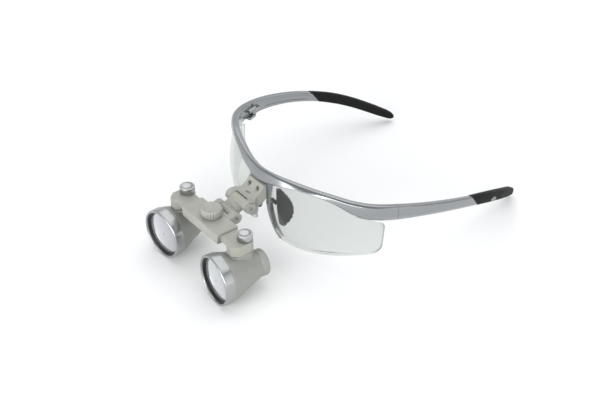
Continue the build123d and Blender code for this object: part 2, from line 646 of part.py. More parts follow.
with BuildPart() as housing_body:
    with Locations((0, HOUSING_MID_Y, (COVER_TOP_Z + HOUSING_TOP_Z) / 2)):
        Box(2 * HOUSING_HALF_WIDTH, HOUSING_DEPTH, HOUSING_TOP_Z - COVER_TOP_Z)
    fillet(housing_body.edges().filter_by(Axis.Z), radius=0.7)
    chamfer(housing_body.faces().sort_by(Axis.Z)[-1].edges(), length=0.35)
    # Hinge knuckles on a short neck behind the housing.
    with BuildSketch(side_sketch_plane(0)):
        with BuildLine():
            Polyline(
                (HOUSING_BACK_Y - 0.15, COVER_TOP_Z),
                (HOUSING_BACK_Y - 0.15, HOUSING_TOP_Z),
                (-74.0, HOUSING_TOP_Z + 0.3),
                (TILT_Y, TILT_Z + KNUCKLE_RADIUS),
                (TILT_Y, TILT_Z - KNUCKLE_RADIUS),
                close=True,
            )
        make_face()
        with Locations((TILT_Y, TILT_Z)):
            Circle(KNUCKLE_RADIUS)
    extrude(amount=KNUCKLE_OUTER_X, both=True)
    with BuildSketch(side_sketch_plane(0)):
        with Locations((TILT_Y, TILT_Z)):
            Circle(LINK_KNUCKLE + 0.45)
        with Locations((TILT_Y, TILT_Z)):
            Rectangle(2 * LINK_KNUCKLE + 0.9, 2 * LINK_KNUCKLE + 6)
    extrude(amount=KNUCKLE_INNER_X, both=True, mode=Mode.SUBTRACT)
    with BuildSketch(side_sketch_plane(-20)):
        with Locations((TILT_Y, TILT_Z)):
            Circle(PIN_RADIUS)
    extrude(amount=40, mode=Mode.SUBTRACT)
    for x in (-KNUCKLE_OUTER_X, KNUCKLE_OUTER_X - WASHER_DEPTH):
        with BuildSketch(side_sketch_plane(x)):
            with Locations((TILT_Y, TILT_Z)):
                Circle(WASHER_RADIUS)
        extrude(amount=WASHER_DEPTH, mode=Mode.SUBTRACT)
    # Channel for the two arms, open at both ends and closed below by the cover.
    with Locations((0, CHANNEL_MID_Y, (COVER_TOP_Z + CHANNEL_TOP_Z) / 2)):
        Box(50, CHANNEL_DEPTH, CHANNEL_TOP_Z - COVER_TOP_Z, mode=Mode.SUBTRACT)
    with Locations((0, KNOB_Y, HOUSING_TOP_Z)):
        Cylinder(SHAFT_RADIUS + PIN_CLEARANCE, 6, mode=Mode.SUBTRACT)
    for spot in COVER_SCREW_SPOTS:
        with Locations((*spot, COVER_TOP_Z)):
            Cylinder(COVER_SCREW_RADIUS, 5, mode=Mode.SUBTRACT)
save(housing_body.part, "housing_body")

with BuildPart() as housing_cover:
    with Locations((0, HOUSING_MID_Y, (COVER_TOP_Z + COVER_BOTTOM_Z) / 2)):
        Box(2 * HOUSING_HALF_WIDTH - 0.4, HOUSING_DEPTH - 0.4, COVER_TOP_Z - COVER_BOTTOM_Z)
    fillet(housing_cover.edges().filter_by(Axis.Z), radius=0.7)
    chamfer(housing_cover.faces().sort_by(Axis.Z)[0].edges(), length=0.3)
    with Locations((0, KNOB_Y, COVER_TOP_Z)):
        Cylinder(1.2 + PIN_CLEARANCE, 1.6, mode=Mode.SUBTRACT)
    for spot in COVER_SCREW_SPOTS:
        with Locations((*spot, COVER_TOP_Z)):
            Cylinder(COVER_SCREW_RADIUS, 5, mode=Mode.SUBTRACT)
        with Locations((*spot, COVER_BOTTOM_Z)):
            Cylinder(1.05, 1.2, mode=Mode.SUBTRACT)
save(housing_cover.part, "housing_cover")

with BuildPart() as housing_screws:
    for spot in COVER_SCREW_SPOTS:
        with BuildSketch(Plane.XY.offset(COVER_BOTTOM_Z + 0.05)):
            with Locations(spot):
                Circle(1.0)
        extrude(amount=0.55)
        with BuildSketch(Plane.XY.offset(COVER_BOTTOM_Z + 0.6)):
            with Locations(spot):
                Circle(COVER_SCREW_RADIUS)
        extrude(amount=3.2)
        with BuildSketch(Plane.XY.offset(COVER_BOTTOM_Z + 0.05)):
            with Locations(spot):
                Rectangle(1.5, 0.3)
        extrude(amount=0.3, mode=Mode.SUBTRACT)
save(housing_screws.part, "housing_screws")

KNOB_BOTTOM_Z = HOUSING_TOP_Z + 0.25
RIDGE_DEPTH = 0.35
with BuildPart() as pd_knob:
    with BuildSketch(Plane.XY.offset(KNOB_BOTTOM_Z + 0.6)):
        with Locations((0, KNOB_Y)):
            Circle(KNOB_RADIUS)
            with PolarLocations(KNOB_RADIUS + 0.1, KNOB_RIDGES):
                Circle(RIDGE_DEPTH, mode=Mode.SUBTRACT)
    extrude(amount=KNOB_TOP_Z - KNOB_BOTTOM_Z - 0.6)
    with BuildSketch(Plane.XY.offset(KNOB_BOTTOM_Z)):
        with Locations((0, KNOB_Y)):
            Circle(KNOB_RADIUS - 0.7)
    extrude(amount=0.6)
    # Dished top with a soft rim.
    with Locations((0, KNOB_Y, KNOB_TOP_Z)):
        Cone(KNOB_RADIUS - 1.6, KNOB_RADIUS - 1.1, 0.5, mode=Mode.SUBTRACT)
    with Locations((0, KNOB_Y, KNOB_BOTTOM_Z)):
        Cylinder(SHAFT_RADIUS - 0.2, 2 * (KNOB_TOP_Z - KNOB_BOTTOM_Z - 1.2), mode=Mode.SUBTRACT)
save(pd_knob.part, "pd_knob")


# Half profile of a straight-sided pinion tooth: (radius, half width).
PINION_TOOTH = [(1.6, 0.42), (PITCH_RADIUS, 0.29), (2.9, 0.17)]


def pinion_tooth(turn):
    """One pinion tooth, standing out from the pinion's centre at a given turn."""
    corners = [(r, w) for r, w in PINION_TOOTH] + [(r, -w) for r, w in reversed(PINION_TOOTH)]
    Polyline(*[Vector(*corner).rotate(Axis.Z, turn) for corner in corners], close=True)


with BuildPart() as pinion:
    with BuildSketch(Plane(origin=(0, KNOB_Y, COVER_TOP_Z + 0.15))):
        Circle(1.95)
        for i in range(PINION_TEETH):
            with BuildLine():
                pinion_tooth(90 + 360 * (i + 0.5) / PINION_TEETH)
            make_face()
    extrude(amount=CHANNEL_TOP_Z - COVER_TOP_Z - 0.3)
    with Locations((0, KNOB_Y, CHANNEL_TOP_Z + 0.65)):
        Cylinder(SHAFT_RADIUS, 1.6)
    with Locations((0, KNOB_Y, (CHANNEL_TOP_Z + KNOB_TOP_Z - 1.2) / 2)):
        Cylinder(SHAFT_RADIUS - 0.2, KNOB_TOP_Z - 1.2 - CHANNEL_TOP_Z)
    with Locations((0, KNOB_Y, COVER_TOP_Z - 0.25)):
        Cylinder(1.2, 0.9)
save(pinion.part, "pinion")


# =====================================================================
# Sliding arms: slotted rack plates one above the other, each ending in a pivot lug
# =====================================================================
ARM_THICK_X = 15.3                   # where the full-height arm begins
ARM_INWARD_TRAVEL = 2.3
ARM_FLARE_X = HOUSING_HALF_WIDTH + ARM_INWARD_TRAVEL + 0.3    # widens only outside the channel
ARM_TIP_X = -10.4
WINDOW_NEAR, WINDOW_FAR = 7.2, -9.6
RACK_ROOT, RACK_TIP = 3.1, 2.1       # distances of the rack's roots and tips from the pinion axis
ARM_SPLIT_Z = 32.15
ARM_BOTTOM_Z = COVER_TOP_Z + SLIDE_CLEARANCE
ARM_TOP_Z = CHANNEL_TOP_Z - SLIDE_CLEARANCE
ARM_BACK_Y = CHANNEL_BACK_Y - SLIDE_CLEARANCE
ARM_FRONT_Y = CHANNEL_FRONT_Y + SLIDE_CLEARANCE
PIVOT_SHANK = 1.5
RACK_TEETH = 9


def make_arm(low, high, rack_side):
    """Left arm with its rack plate between two heights and its rack on one side of the pinion."""
    with BuildPart() as arm:
        with BuildSketch(Plane.XY.offset(low)):
            with Locations(((ARM_TIP_X + ARM_THICK_X) / 2, (ARM_BACK_Y + ARM_FRONT_Y) / 2)):
                Rectangle(ARM_THICK_X - ARM_TIP_X, ARM_BACK_Y - ARM_FRONT_Y)
            near_edge = KNOB_Y - rack_side * 3.3
            far_edge = KNOB_Y + rack_side * RACK_ROOT
            with Locations(((WINDOW_NEAR + WINDOW_FAR) / 2, (near_edge + far_edge) / 2)):
                Rectangle(WINDOW_NEAR - WINDOW_FAR, 2 * RACK_ROOT + 0.2, mode=Mode.SUBTRACT)
            for i in range(RACK_TEETH):
                x = (i - RACK_TEETH // 2 - 1) * TOOTH_PITCH
                with BuildLine(mode=Mode.PRIVATE) as tooth:
                    Polyline(
                        (x - 0.38, KNOB_Y + rack_side * (RACK_ROOT + 0.1)),
                        (x - 0.18, KNOB_Y + rack_side * RACK_TIP),
                        (x + 0.18, KNOB_Y + rack_side * RACK_TIP),
                        (x + 0.38, KNOB_Y + rack_side * (RACK_ROOT + 0.1)),
                        close=True,
                    )
                make_face(tooth.line, mode=Mode.ADD)
        extrude(amount=high - low)
        # Full-height arm outside the housing.
        with BuildSketch(Plane.XY.offset(ARM_BOTTOM_Z)):
            with BuildLine():
                Polyline(
                    (ARM_THICK_X, ARM_BACK_Y),
                    (ARM_THICK_X, ARM_FRONT_Y),
                    (ARM_FLARE_X, ARM_FRONT_Y),
                    (PIVOT_X, ARM_FRONT_Y - 0.4),
                    (PIVOT_X, ARM_BACK_Y),
                    close=True,
                )
            make_face()
        extrude(amount=ARM_TOP_Z - ARM_BOTTOM_Z)
        # Pivot lug over the barrel, rounded behind and tapering forward.
        with BuildSketch(Plane.XY.offset(LUG_BOTTOM_Z)):
            with Locations((PIVOT_X, PIVOT_Y)):
                Circle(LUG_RADIUS)
            with BuildLine():
                Polyline(
                    (PIVOT_X + LUG_RADIUS, PIVOT_Y),
                    (PIVOT_X + LUG_RADIUS, PIVOT_Y - 6.8),
                    (PIVOT_X + 1.6, PIVOT_Y + LUG_FRONT),
                    (PIVOT_X - 2.6, PIVOT_Y + LUG_FRONT),
                    (PIVOT_X - LUG_RADIUS, PIVOT_Y - 8.0),
                    (PIVOT_X - LUG_RADIUS, PIVOT_Y),
                    close=True,
                )
            make_face()
        extrude(amount=LUG_TOP_Z - LUG_BOTTOM_Z)
        with Locations((PIVOT_X, PIVOT_Y, LUG_TOP_Z)):
            Cylinder(PIVOT_SHANK + PIN_CLEARANCE, 20, mode=Mode.SUBTRACT)
    return arm.part


arm_left = make_arm(ARM_SPLIT_Z + SLIDE_CLEARANCE, ARM_TOP_Z, 1)
arm_right = mirrored(make_arm(ARM_BOTTOM_Z, ARM_SPLIT_Z - SLIDE_CLEARANCE, -1))
save(arm_left, "arm_left")
save(arm_right, "arm_right")


# =====================================================================
# Barrels: body, rings, lenses and field stop
# =====================================================================
REAR = (sin(radians(TOE_IN)), cos(radians(TOE_IN)), 0)
BARREL_PLANE = Plane(
    origin=(PIVOT_X, PIVOT_Y, AXIS_Z),
    x_dir=REAR,
    z_dir=(cos(radians(TOE_IN)), -sin(radians(TOE_IN)), 0),
)
BARREL_AXIS = Axis((PIVOT_X, PIVOT_Y, AXIS_Z), REAR)


def turned(outline):
    """A turned piece about the barrel axis, from (distance along the axis, radius) points."""
    with BuildPart() as piece:
        with BuildSketch(BARREL_PLANE):
            with BuildLine():
                Polyline(*outline, close=True)
            make_face()
        revolve(axis=BARREL_AXIS)
    return piece.part


SPIGOT_FRONT = -17.8
SPIGOT_BORE = 12.3
STOP_FRONT = -6.0
SADDLE_PLANE = Plane(
    origin=(PIVOT_X, PIVOT_Y, SADDLE_TOP_Z),
    x_dir=(cos(radians(TOE_IN)), -sin(radians(TOE_IN)), 0),
    z_dir=(0, 0, 1),
)

with BuildPart() as barrel:
    with BuildSketch(BARREL_PLANE):
        with BuildLine():
            Polyline(
                (SPIGOT_FRONT, 0),
                (SPIGOT_FRONT, RING_BORE),
                (RING_BACK, RING_BORE),
                (RING_BACK, 14.0),
                (RING_BACK + 1.2, 13.9),
                (BARREL_BACK, 7.4),
                (BARREL_BACK, 6.3),
                (EYEPIECE_BACK - 1.6, 6.3),
                (EYEPIECE_BACK - 1.6, 0),
                close=True,
            )
        make_face()
    revolve(axis=BARREL_AXIS)
    # Saddle under the arm's lug.
    with BuildSketch(SADDLE_PLANE):
        Circle(LUG_RADIUS)
        with BuildLine():
            Polyline(
                (LUG_RADIUS, 0),
                (LUG_RADIUS, -7.6),
                (1.8, LUG_FRONT - 0.4),
                (-2.8, LUG_FRONT - 0.4),
                (-LUG_RADIUS, -8.6),
                (-LUG_RADIUS, 0),
                close=True,
            )
        make_face()
    extrude(amount=-(SADDLE_TOP_Z - AXIS_Z - 5))
    # Bore, stepped for the objective, the field stop and the eyepiece.
    with BuildSketch(BARREL_PLANE):
        with BuildLine():
            Polyline(
                (SPIGOT_FRONT - 1, 0),
                (SPIGOT_FRONT - 1, SPIGOT_BORE),
                (-14.6, SPIGOT_BORE),
                (-14.6, 11.4),
                (-12.4, 11.4),
                (STOP_FRONT, 9.6),
                (STOP_FRONT + 1.2, 9.6),
                (STOP_FRONT + 1.2, 8.4),
                (BARREL_BACK, 5.0),
                (EYEPIECE_BACK + 1, 5.0),
                (EYEPIECE_BACK + 1, 0),
                close=True,
            )
        make_face()
    revolve(axis=BARREL_AXIS, mode=Mode.SUBTRACT)
    with Locations((PIVOT_X, PIVOT_Y, SADDLE_TOP_Z)):
        Cylinder(PIVOT_SHANK, 8.2, mode=Mode.SUBTRACT)
save_pair(barrel.part, "barrel")

front_ring = turned([
    (RING_FRONT + 0.3, RING_RADIUS - 0.5),
    (RING_FRONT, RING_RADIUS - 0.9),
    (RING_FRONT, RING_BORE + 0.2),
    (RING_FRONT + 0.5, RING_BORE),
    (RING_BACK, RING_BORE),
    (RING_BACK, RING_RADIUS - 0.4),
    (RING_BACK - 0.4, RING_RADIUS),
    (RING_FRONT + 0.9, RING_RADIUS),
])
save_pair(front_ring, "front_ring")

RETAINER_BACK = -17.95
retaining_ring = turned([
    (-19.4, RING_BORE),
    (-19.4, 12.7),
    (-18.3, 11.9),
    (RETAINER_BACK, 11.9),
    (RETAINER_BACK, RING_BORE),
])
save_pair(retaining_ring, "retaining_ring")


def dome(rim, vertex):
    """Arc from a rim point (along, radius) to a vertex on the axis, centred on that axis."""
    sag = vertex - rim[0]
    radius = (rim[1] ** 2 + sag ** 2) / (2 * abs(sag))
    centre = vertex - radius if sag > 0 else vertex + radius
    half = asin(rim[1] / radius) / 2
    side = 1 if sag > 0 else -1
    return ThreePointArc(rim, (centre + side * radius * cos(half), radius * sin(half)), (vertex, 0))


with BuildPart() as objective_lens:
    with BuildSketch(BARREL_PLANE):
        with BuildLine():
            Line((-14.6, 0), (-14.6, SPIGOT_BORE))
            Line((-14.6, SPIGOT_BORE), (SPIGOT_FRONT, SPIGOT_BORE))
            dome((SPIGOT_FRONT, SPIGOT_BORE), -18.8)
            Line((-18.8, 0), (-14.6, 0))
        make_face()
    revolve(axis=BARREL_AXIS)
save_pair(objective_lens.part, "objective_lens")

STOP_BACK = STOP_FRONT + 1.2
field_stop = turned([
    (STOP_FRONT, 9.6),
    (STOP_FRONT, 6.6),
    (STOP_FRONT + 0.6, 6.3),
    (STOP_BACK, 6.3),
    (STOP_BACK, 9.6),
])
save_pair(field_stop, "field_stop")

with BuildPart() as eyepiece_lens:
    with BuildSketch(BARREL_PLANE):
        with BuildLine():
            Line((BARREL_BACK + 0.6, 5.0), (EYEPIECE_BACK - 1.7, 5.0))
            dome((EYEPIECE_BACK - 1.7, 5.0), EYEPIECE_BACK - 2.5)
            Line((EYEPIECE_BACK - 2.5, 0), (BARREL_BACK + 1.2, 0))
            dome((BARREL_BACK + 0.6, 5.0), BARREL_BACK + 1.2)
        make_face()
    revolve(axis=BARREL_AXIS)
save_pair(eyepiece_lens.part, "eyepiece_lens")

eyepiece_ring = turned([
    (BARREL_BACK, 6.3),
    (BARREL_BACK, 7.3),
    (BARREL_BACK + 0.4, 7.6),
    (EYEPIECE_BACK - 0.9, 7.6),
    (EYEPIECE_BACK - 0.3, 7.3),
    (EYEPIECE_BACK, 6.7),
    (EYEPIECE_BACK, 5.8),
    (EYEPIECE_BACK - 1.6, 4.6),
    (EYEPIECE_BACK - 1.6, 6.3),
])
save_pair(eyepiece_ring, "eyepiece_ring")

CAP_RADIUS = 4.25
CAP_BOTTOM_Z, CAP_TOP_Z = LUG_TOP_Z + 0.05, 38.3
SHANK_END_Z = 23.5
with BuildPart() as pivot_cap:
    with Locations((PIVOT_X, PIVOT_Y, (SHANK_END_Z + CAP_BOTTOM_Z) / 2)):
        Cylinder(PIVOT_SHANK, CAP_BOTTOM_Z - SHANK_END_Z)
    with BuildSketch(Plane.XY.offset(CAP_BOTTOM_Z)):
        with Locations((PIVOT_X, PIVOT_Y)):
            Circle(CAP_RADIUS)
    extrude(amount=CAP_TOP_Z - CAP_BOTTOM_Z)
    fillet(pivot_cap.edges().group_by(Axis.Z)[-1], radius=0.8)
    chamfer(pivot_cap.faces().filter_by(Axis.Z).sort_by(Axis.Z)[-2].outer_wire().edges(), length=0.25)
save_pair(pivot_cap.part, "pivot_cap")

with BuildPart() as pivot_washer:
    with BuildSketch(Plane.XY.offset(SADDLE_TOP_Z)):
        with Locations((PIVOT_X, PIVOT_Y)):
            Circle(3.4)
            Circle(PIVOT_SHANK, mode=Mode.SUBTRACT)
    extrude(amount=LUG_BOTTOM_Z - SADDLE_TOP_Z - 0.05)
save_pair(pivot_washer.part, "pivot_washer")
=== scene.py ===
import json
import math

import bmesh
import bpy
import numpy as np
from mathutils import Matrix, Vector


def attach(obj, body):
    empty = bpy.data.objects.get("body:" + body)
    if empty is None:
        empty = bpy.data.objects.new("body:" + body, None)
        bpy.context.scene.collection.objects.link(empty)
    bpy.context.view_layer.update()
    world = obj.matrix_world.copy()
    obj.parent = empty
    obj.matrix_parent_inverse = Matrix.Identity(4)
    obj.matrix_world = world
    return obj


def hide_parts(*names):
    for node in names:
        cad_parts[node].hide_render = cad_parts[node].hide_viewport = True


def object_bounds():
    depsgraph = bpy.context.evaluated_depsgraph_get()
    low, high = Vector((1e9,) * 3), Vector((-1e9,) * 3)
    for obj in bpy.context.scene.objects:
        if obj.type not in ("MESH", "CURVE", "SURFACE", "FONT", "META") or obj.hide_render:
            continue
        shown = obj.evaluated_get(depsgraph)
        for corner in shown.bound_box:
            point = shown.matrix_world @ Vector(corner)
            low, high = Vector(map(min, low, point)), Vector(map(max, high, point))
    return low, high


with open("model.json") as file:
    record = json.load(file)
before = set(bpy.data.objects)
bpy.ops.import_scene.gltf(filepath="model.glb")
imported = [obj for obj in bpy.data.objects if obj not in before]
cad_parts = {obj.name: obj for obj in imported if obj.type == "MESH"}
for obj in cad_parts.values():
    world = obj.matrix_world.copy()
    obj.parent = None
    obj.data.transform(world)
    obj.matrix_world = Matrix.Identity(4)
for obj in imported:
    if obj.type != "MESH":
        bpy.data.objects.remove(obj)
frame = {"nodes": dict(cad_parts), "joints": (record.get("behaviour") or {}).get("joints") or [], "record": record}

# Dental loupes. Shapes are worked out in millimetres and written to the meshes in metres.
# +X is the wearer's left, -Y is the way the wearer looks, +Z is up.
CAD_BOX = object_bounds()
MM = 0.001
nodes = frame["nodes"]
mounts = {m["name"]: m for m in frame["record"]["mounts"]}
joints = {j["name"]: j for j in frame["joints"]}


# ---------------------------------------------------------------------
# Camera and lights
# ---------------------------------------------------------------------
CAMERA_AZIMUTH, CAMERA_ELEVATION = math.radians(52.10), math.radians(35.73)
CAMERA_SPOT = (0.43659, -0.36086, 0.41632)
WORLD_STRENGTH = 1.05


def add_camera():
    data = bpy.data.cameras.new("camera")
    data.sensor_width = 36
    data.lens = 71.3
    data.clip_start = 0.01
    camera = bpy.data.objects.new("camera", data)
    bpy.context.scene.collection.objects.link(camera)
    camera.location = CAMERA_SPOT
    camera.rotation_euler = (math.pi / 2 - CAMERA_ELEVATION, 0, CAMERA_AZIMUTH)
    bpy.context.scene.camera = camera


def add_area_light(name, spot, target, size, watts):
    data = bpy.data.lights.new(name, "AREA")
    data.shape = "RECTANGLE"
    data.size, data.size_y = size
    data.energy = watts
    light = bpy.data.objects.new(name, data)
    bpy.context.scene.collection.objects.link(light)
    light.location = spot
    light.rotation_euler = (Vector(target) - Vector(spot)).to_track_quat("-Z", "Y").to_euler()


def add_stage():
    """White paper under a dim ceiling with a bright horizon, so that metal shows both."""
    world = bpy.data.worlds.new("studio")
    bpy.context.scene.world = world
    world.use_nodes = True
    tree = world.node_tree
    sky = tree.nodes.new("ShaderNodeTexCoord")
    height = tree.nodes.new("ShaderNodeSeparateXYZ")
    grade = tree.nodes.new("ShaderNodeValToRGB")
    grade.color_ramp.elements[0].position = 0.02
    grade.color_ramp.elements[0].color = (1.0, 1.0, 1.0, 1)
    grade.color_ramp.elements[1].position = 0.75
    grade.color_ramp.elements[1].color = (0.20, 0.22, 0.235, 1)
    tree.links.new(sky.outputs["Generated"], height.inputs["Vector"])
    tree.links.new(height.outputs["Z"], grade.inputs["Fac"])
    tree.links.new(grade.outputs["Color"], tree.nodes["Background"].inputs["Color"])
    tree.nodes["Background"].inputs["Strength"].default_value = WORLD_STRENGTH
    half = 3.0
    mesh = bpy.data.meshes.new("floor")
    corners = [(-half, -half, 0), (half, -half, 0), (half, half, 0), (-half, half, 0)]
    mesh.from_pydata(corners, [], [(0, 1, 2, 3)])
    floor = bpy.data.objects.new("floor", mesh)
    bpy.context.scene.collection.objects.link(floor)
    floor.location.z = CAD_BOX[0].z - 0.0002
    paint = bpy.data.materials.new("floor_paper")
    paint.use_nodes = True
    shader = paint.node_tree.nodes["Principled BSDF"]
    shader.inputs["Base Color"].default_value = (0.92, 0.92, 0.92, 1)
    shader.inputs["Roughness"].default_value = 0.9
    mesh.materials.append(paint)
    add_area_light("overhead", (-0.2, 0.4, 1.2), (0, 0, 0), (2.0, 2.0), 17)
    add_area_light("key_front", (0.4, -1.15, 0.38), (0, 0, 0.02), (1.6, 0.55), 15)
    add_area_light("fill_right", (1.1, 0.3, 0.5), (0, 0, 0.02), (0.9, 0.9), 2)
    bpy.context.scene.view_settings.view_transform = "Standard"


# ---------------------------------------------------------------------
# Materials
# ---------------------------------------------------------------------
class Paint:
    """A node material on one Principled shader, with helpers for procedural detail."""

    def __init__(self, name, base, rough, metallic=0.0):
        self.material = bpy.data.materials.new(name)
        self.material.use_nodes = True
        self.tree = self.material.node_tree
        self.shader = self.tree.nodes["Principled BSDF"]
        self.set("Base Color", (*base, 1))
        self.set("Roughness", rough)
        self.set("Metallic", metallic)
        self.base = base
        self.rough = rough
        self.coordinates = self.tree.nodes.new("ShaderNodeTexCoord").outputs["Object"]

    def set(self, socket, value):
        self.shader.inputs[socket].default_value = value

    def link(self, source, target):
        self.tree.links.new(source, target)

    def noise(self, scale, detail=4.0, stretch=(1, 1, 1), source=None):
        """Noise with so many cells to the metre, stretched along the axes."""
        mapping = self.tree.nodes.new("ShaderNodeMapping")
        mapping.inputs["Scale"].default_value = stretch
        self.link(source or self.coordinates, mapping.inputs["Vector"])
        noise = self.tree.nodes.new("ShaderNodeTexNoise")
        noise.inputs["Scale"].default_value = scale
        noise.inputs["Detail"].default_value = detail
        self.link(mapping.outputs["Vector"], noise.inputs["Vector"])
        return noise.outputs["Fac"]

    def ramp(self, source, low, high, start=0.3, stop=0.7):
        """source mapped from start..stop to low..high, as numbers or as colours."""
        if isinstance(low, tuple):
            ramp = self.tree.nodes.new("ShaderNodeValToRGB")
            ramp.color_ramp.elements[0].position = start
            ramp.color_ramp.elements[0].color = (*low, 1)
            ramp.color_ramp.elements[1].position = stop
            ramp.color_ramp.elements[1].color = (*high, 1)
            self.link(source, ramp.inputs["Fac"])
            return ramp.outputs["Color"]
        span = self.tree.nodes.new("ShaderNodeMapRange")
        for socket, value in (("From Min", start), ("From Max", stop), ("To Min", low), ("To Max", high)):
            span.inputs[socket].default_value = value
        self.link(source, span.inputs["Value"])
        return span.outputs["Result"]

    def vary_colour(self, source, spread, start=0.3, stop=0.7):
        """Base colour a little darker and lighter by source."""
        low = tuple(c * (1 - spread) for c in self.base)
        high = tuple(min(1.0, c * (1 + spread)) for c in self.base)
        self.link(self.ramp(source, low, high, start, stop), self.shader.inputs["Base Color"])

    def vary_roughness(self, source, spread, start=0.3, stop=0.7):
        low, high = self.rough - spread, self.rough + spread
        self.link(self.ramp(source, low, high, start, stop), self.shader.inputs["Roughness"])

    def bump(self, source, depth, strength=1.0):
        """Surface relief of source, with its depth in metres."""
        bump = self.tree.nodes.new("ShaderNodeBump")
        bump.inputs["Distance"].default_value = depth
        bump.inputs["Strength"].default_value = strength
        self.link(source, bump.inputs["Height"])
        self.link(bump.outputs["Normal"], self.shader.inputs["Normal"])


def silver_lacquer():
    """Metallic silver lacquer: fine flake, slight orange peel, clear coat."""
    paint = Paint("silver_lacquer", (0.30, 0.312, 0.32), 0.25, 0.88)
    paint.vary_colour(paint.noise(2600, 2), 0.03)
    paint.vary_roughness(paint.noise(60, 3), 0.02)
    paint.bump(paint.noise(2600, 2), 0.0000006)
    paint.set("Coat Weight", 0.25)
    paint.set("Coat Roughness", 0.12)
    return paint.material


def blasted_grey(name, base, rough, metallic):
    """Fine bead-blasted, plated metal with a soft, warm grey surface."""
    paint = Paint(name, base, rough, metallic)
    paint.vary_colour(paint.noise(240, 5), 0.035)
    paint.vary_roughness(paint.noise(500, 4), 0.05)
    paint.bump(paint.noise(5200, 3), 0.000010)
    return paint.material


def turned_metal(name, base, rough, centre, axis):
    """Lathe-turned bright metal: fine rings round an axis, with streaks that follow them."""
    paint = Paint(name, base, rough, 1.0)
    run = Vector(axis).normalized()
    tree = paint.tree
    local = tree.nodes.new("ShaderNodeMapping")
    local.vector_type = "TEXTURE"
    local.inputs["Location"].default_value = centre
    local.inputs["Rotation"].default_value = run.to_track_quat("Z", "Y").to_euler()
    paint.link(paint.coordinates, local.inputs["Vector"])
    parts = tree.nodes.new("ShaderNodeSeparateXYZ")
    paint.link(local.outputs["Vector"], parts.inputs["Vector"])
    flat = tree.nodes.new("ShaderNodeCombineXYZ")
    paint.link(parts.outputs["X"], flat.inputs["X"])
    paint.link(parts.outputs["Y"], flat.inputs["Y"])
    length = tree.nodes.new("ShaderNodeVectorMath")
    length.operation = "LENGTH"
    paint.link(flat.outputs["Vector"], length.inputs[0])
    ring = tree.nodes.new("ShaderNodeCombineXYZ")
    paint.link(length.outputs["Value"], ring.inputs["X"])
    paint.link(parts.outputs["Z"], ring.inputs["Y"])
    lines = paint.noise(5200, 2, (1, 1, 1), ring.outputs["Vector"])
    paint.vary_roughness(lines, 0.05)
    paint.bump(lines, 0.0000015)
    paint.vary_colour(paint.noise(90, 3), 0.04)
    paint.set("Anisotropic", 0.55)
    return paint.material


def soft_rubber():
    """Matte moulded rubber with a fine grain and patches a little lighter and darker at random."""
    paint = Paint("soft_rubber", (0.006, 0.006, 0.0065), 0.62)
    paint.vary_colour(paint.noise(140, 5), 0.25)
    paint.vary_roughness(paint.noise(300, 4), 0.07)
    paint.bump(paint.noise(3800, 3), 0.000022)
    paint.set("Specular IOR Level", 0.18)
    return paint.material


def pad_rubber():
    """Softer, slightly glossy black rubber of the nose pads."""
    paint = Paint("pad_rubber", (0.016, 0.013, 0.016), 0.38)
    paint.vary_colour(paint.noise(200, 4), 0.2)
    paint.bump(paint.noise(2400, 3), 0.000018)
    paint.set("Sheen Weight", 0.25)
    paint.set("Sheen Tint", (0.80, 0.70, 0.90, 1))
    return paint.material


def steel(name, base, rough):
    """Small turned steel parts."""
    paint = Paint(name, base, rough, 1.0)
    paint.vary_colour(paint.noise(700, 4), 0.06)
    paint.vary_roughness(paint.noise(2500, 3), 0.06)
    paint.bump(paint.noise(4200, 2, (1, 6, 6)), 0.000006)
    return paint.material


def clear_lens():
    """Clear hard-coated lens: mostly see-through, with a soft sheen that grows at the edges."""
    paint = Paint("clear_lens", (0.70, 0.72, 0.70), 0.05)
    tree = paint.tree
    output = tree.nodes["Material Output"]
    clear = tree.nodes.new("ShaderNodeBsdfTransparent")
    # The cut edge of the lens is darker than its faces, as light is trapped in it.
    geometry = tree.nodes.new("ShaderNodeNewGeometry")
    tint = paint.ramp(geometry.outputs["Pointiness"], (0.86, 0.872, 0.865), (0.36, 0.38, 0.37), 0.52, 0.545)
    paint.link(tint, clear.inputs["Color"])
    mix = tree.nodes.new("ShaderNodeMixShader")
    facing = tree.nodes.new("ShaderNodeLayerWeight")
    facing.inputs["Blend"].default_value = 0.5
    smears = paint.noise(35, 4)
    paint.vary_roughness(smears, 0.03)
    paint.set("Specular IOR Level", 0.6)
    # Facing is the same on the lens's front and back, where Fresnel would turn the back opaque.
    share = paint.ramp(facing.outputs["Facing"], 0.03, 0.55, 0.45, 0.95)
    paint.link(share, mix.inputs["Fac"])
    paint.link(clear.outputs["BSDF"], mix.inputs[1])
    paint.link(paint.shader.outputs["BSDF"], mix.inputs[2])
    paint.link(mix.outputs["Shader"], output.inputs["Surface"])
    return paint.material


def coated_glass():
    """Objective glass with a violet anti-reflection coating."""
    paint = Paint("coated_glass", (0.16, 0.14, 0.19), 0.04)
    facing = paint.tree.nodes.new("ShaderNodeLayerWeight")
    facing.inputs["Blend"].default_value = 0.35
    colours = paint.ramp(facing.outputs["Facing"], (0.30, 0.28, 0.33), (0.72, 0.75, 0.76), 0.25, 0.62)
    paint.link(colours, paint.shader.inputs["Base Color"])
    paint.vary_roughness(paint.noise(60, 3), 0.02)
    paint.set("Metallic", 0.7)
    paint.set("Coat Weight", 1.0)
    paint.set("Coat Roughness", 0.02)
    return paint.material


def black_anodised():
    paint = Paint("black_anodised", (0.02, 0.02, 0.022), 0.40, 0.5)
    paint.vary_colour(paint.noise(400, 4), 0.2)
    paint.bump(paint.noise(4000, 3), 0.000008)
    return paint.material


def machined_brass():
    paint = Paint("machined_brass", (0.62, 0.46, 0.20), 0.28, 1.0)
    paint.vary_colour(paint.noise(500, 4), 0.08)
    paint.bump(paint.noise(3000, 2, (1, 1, 8)), 0.000006)
    return paint.material


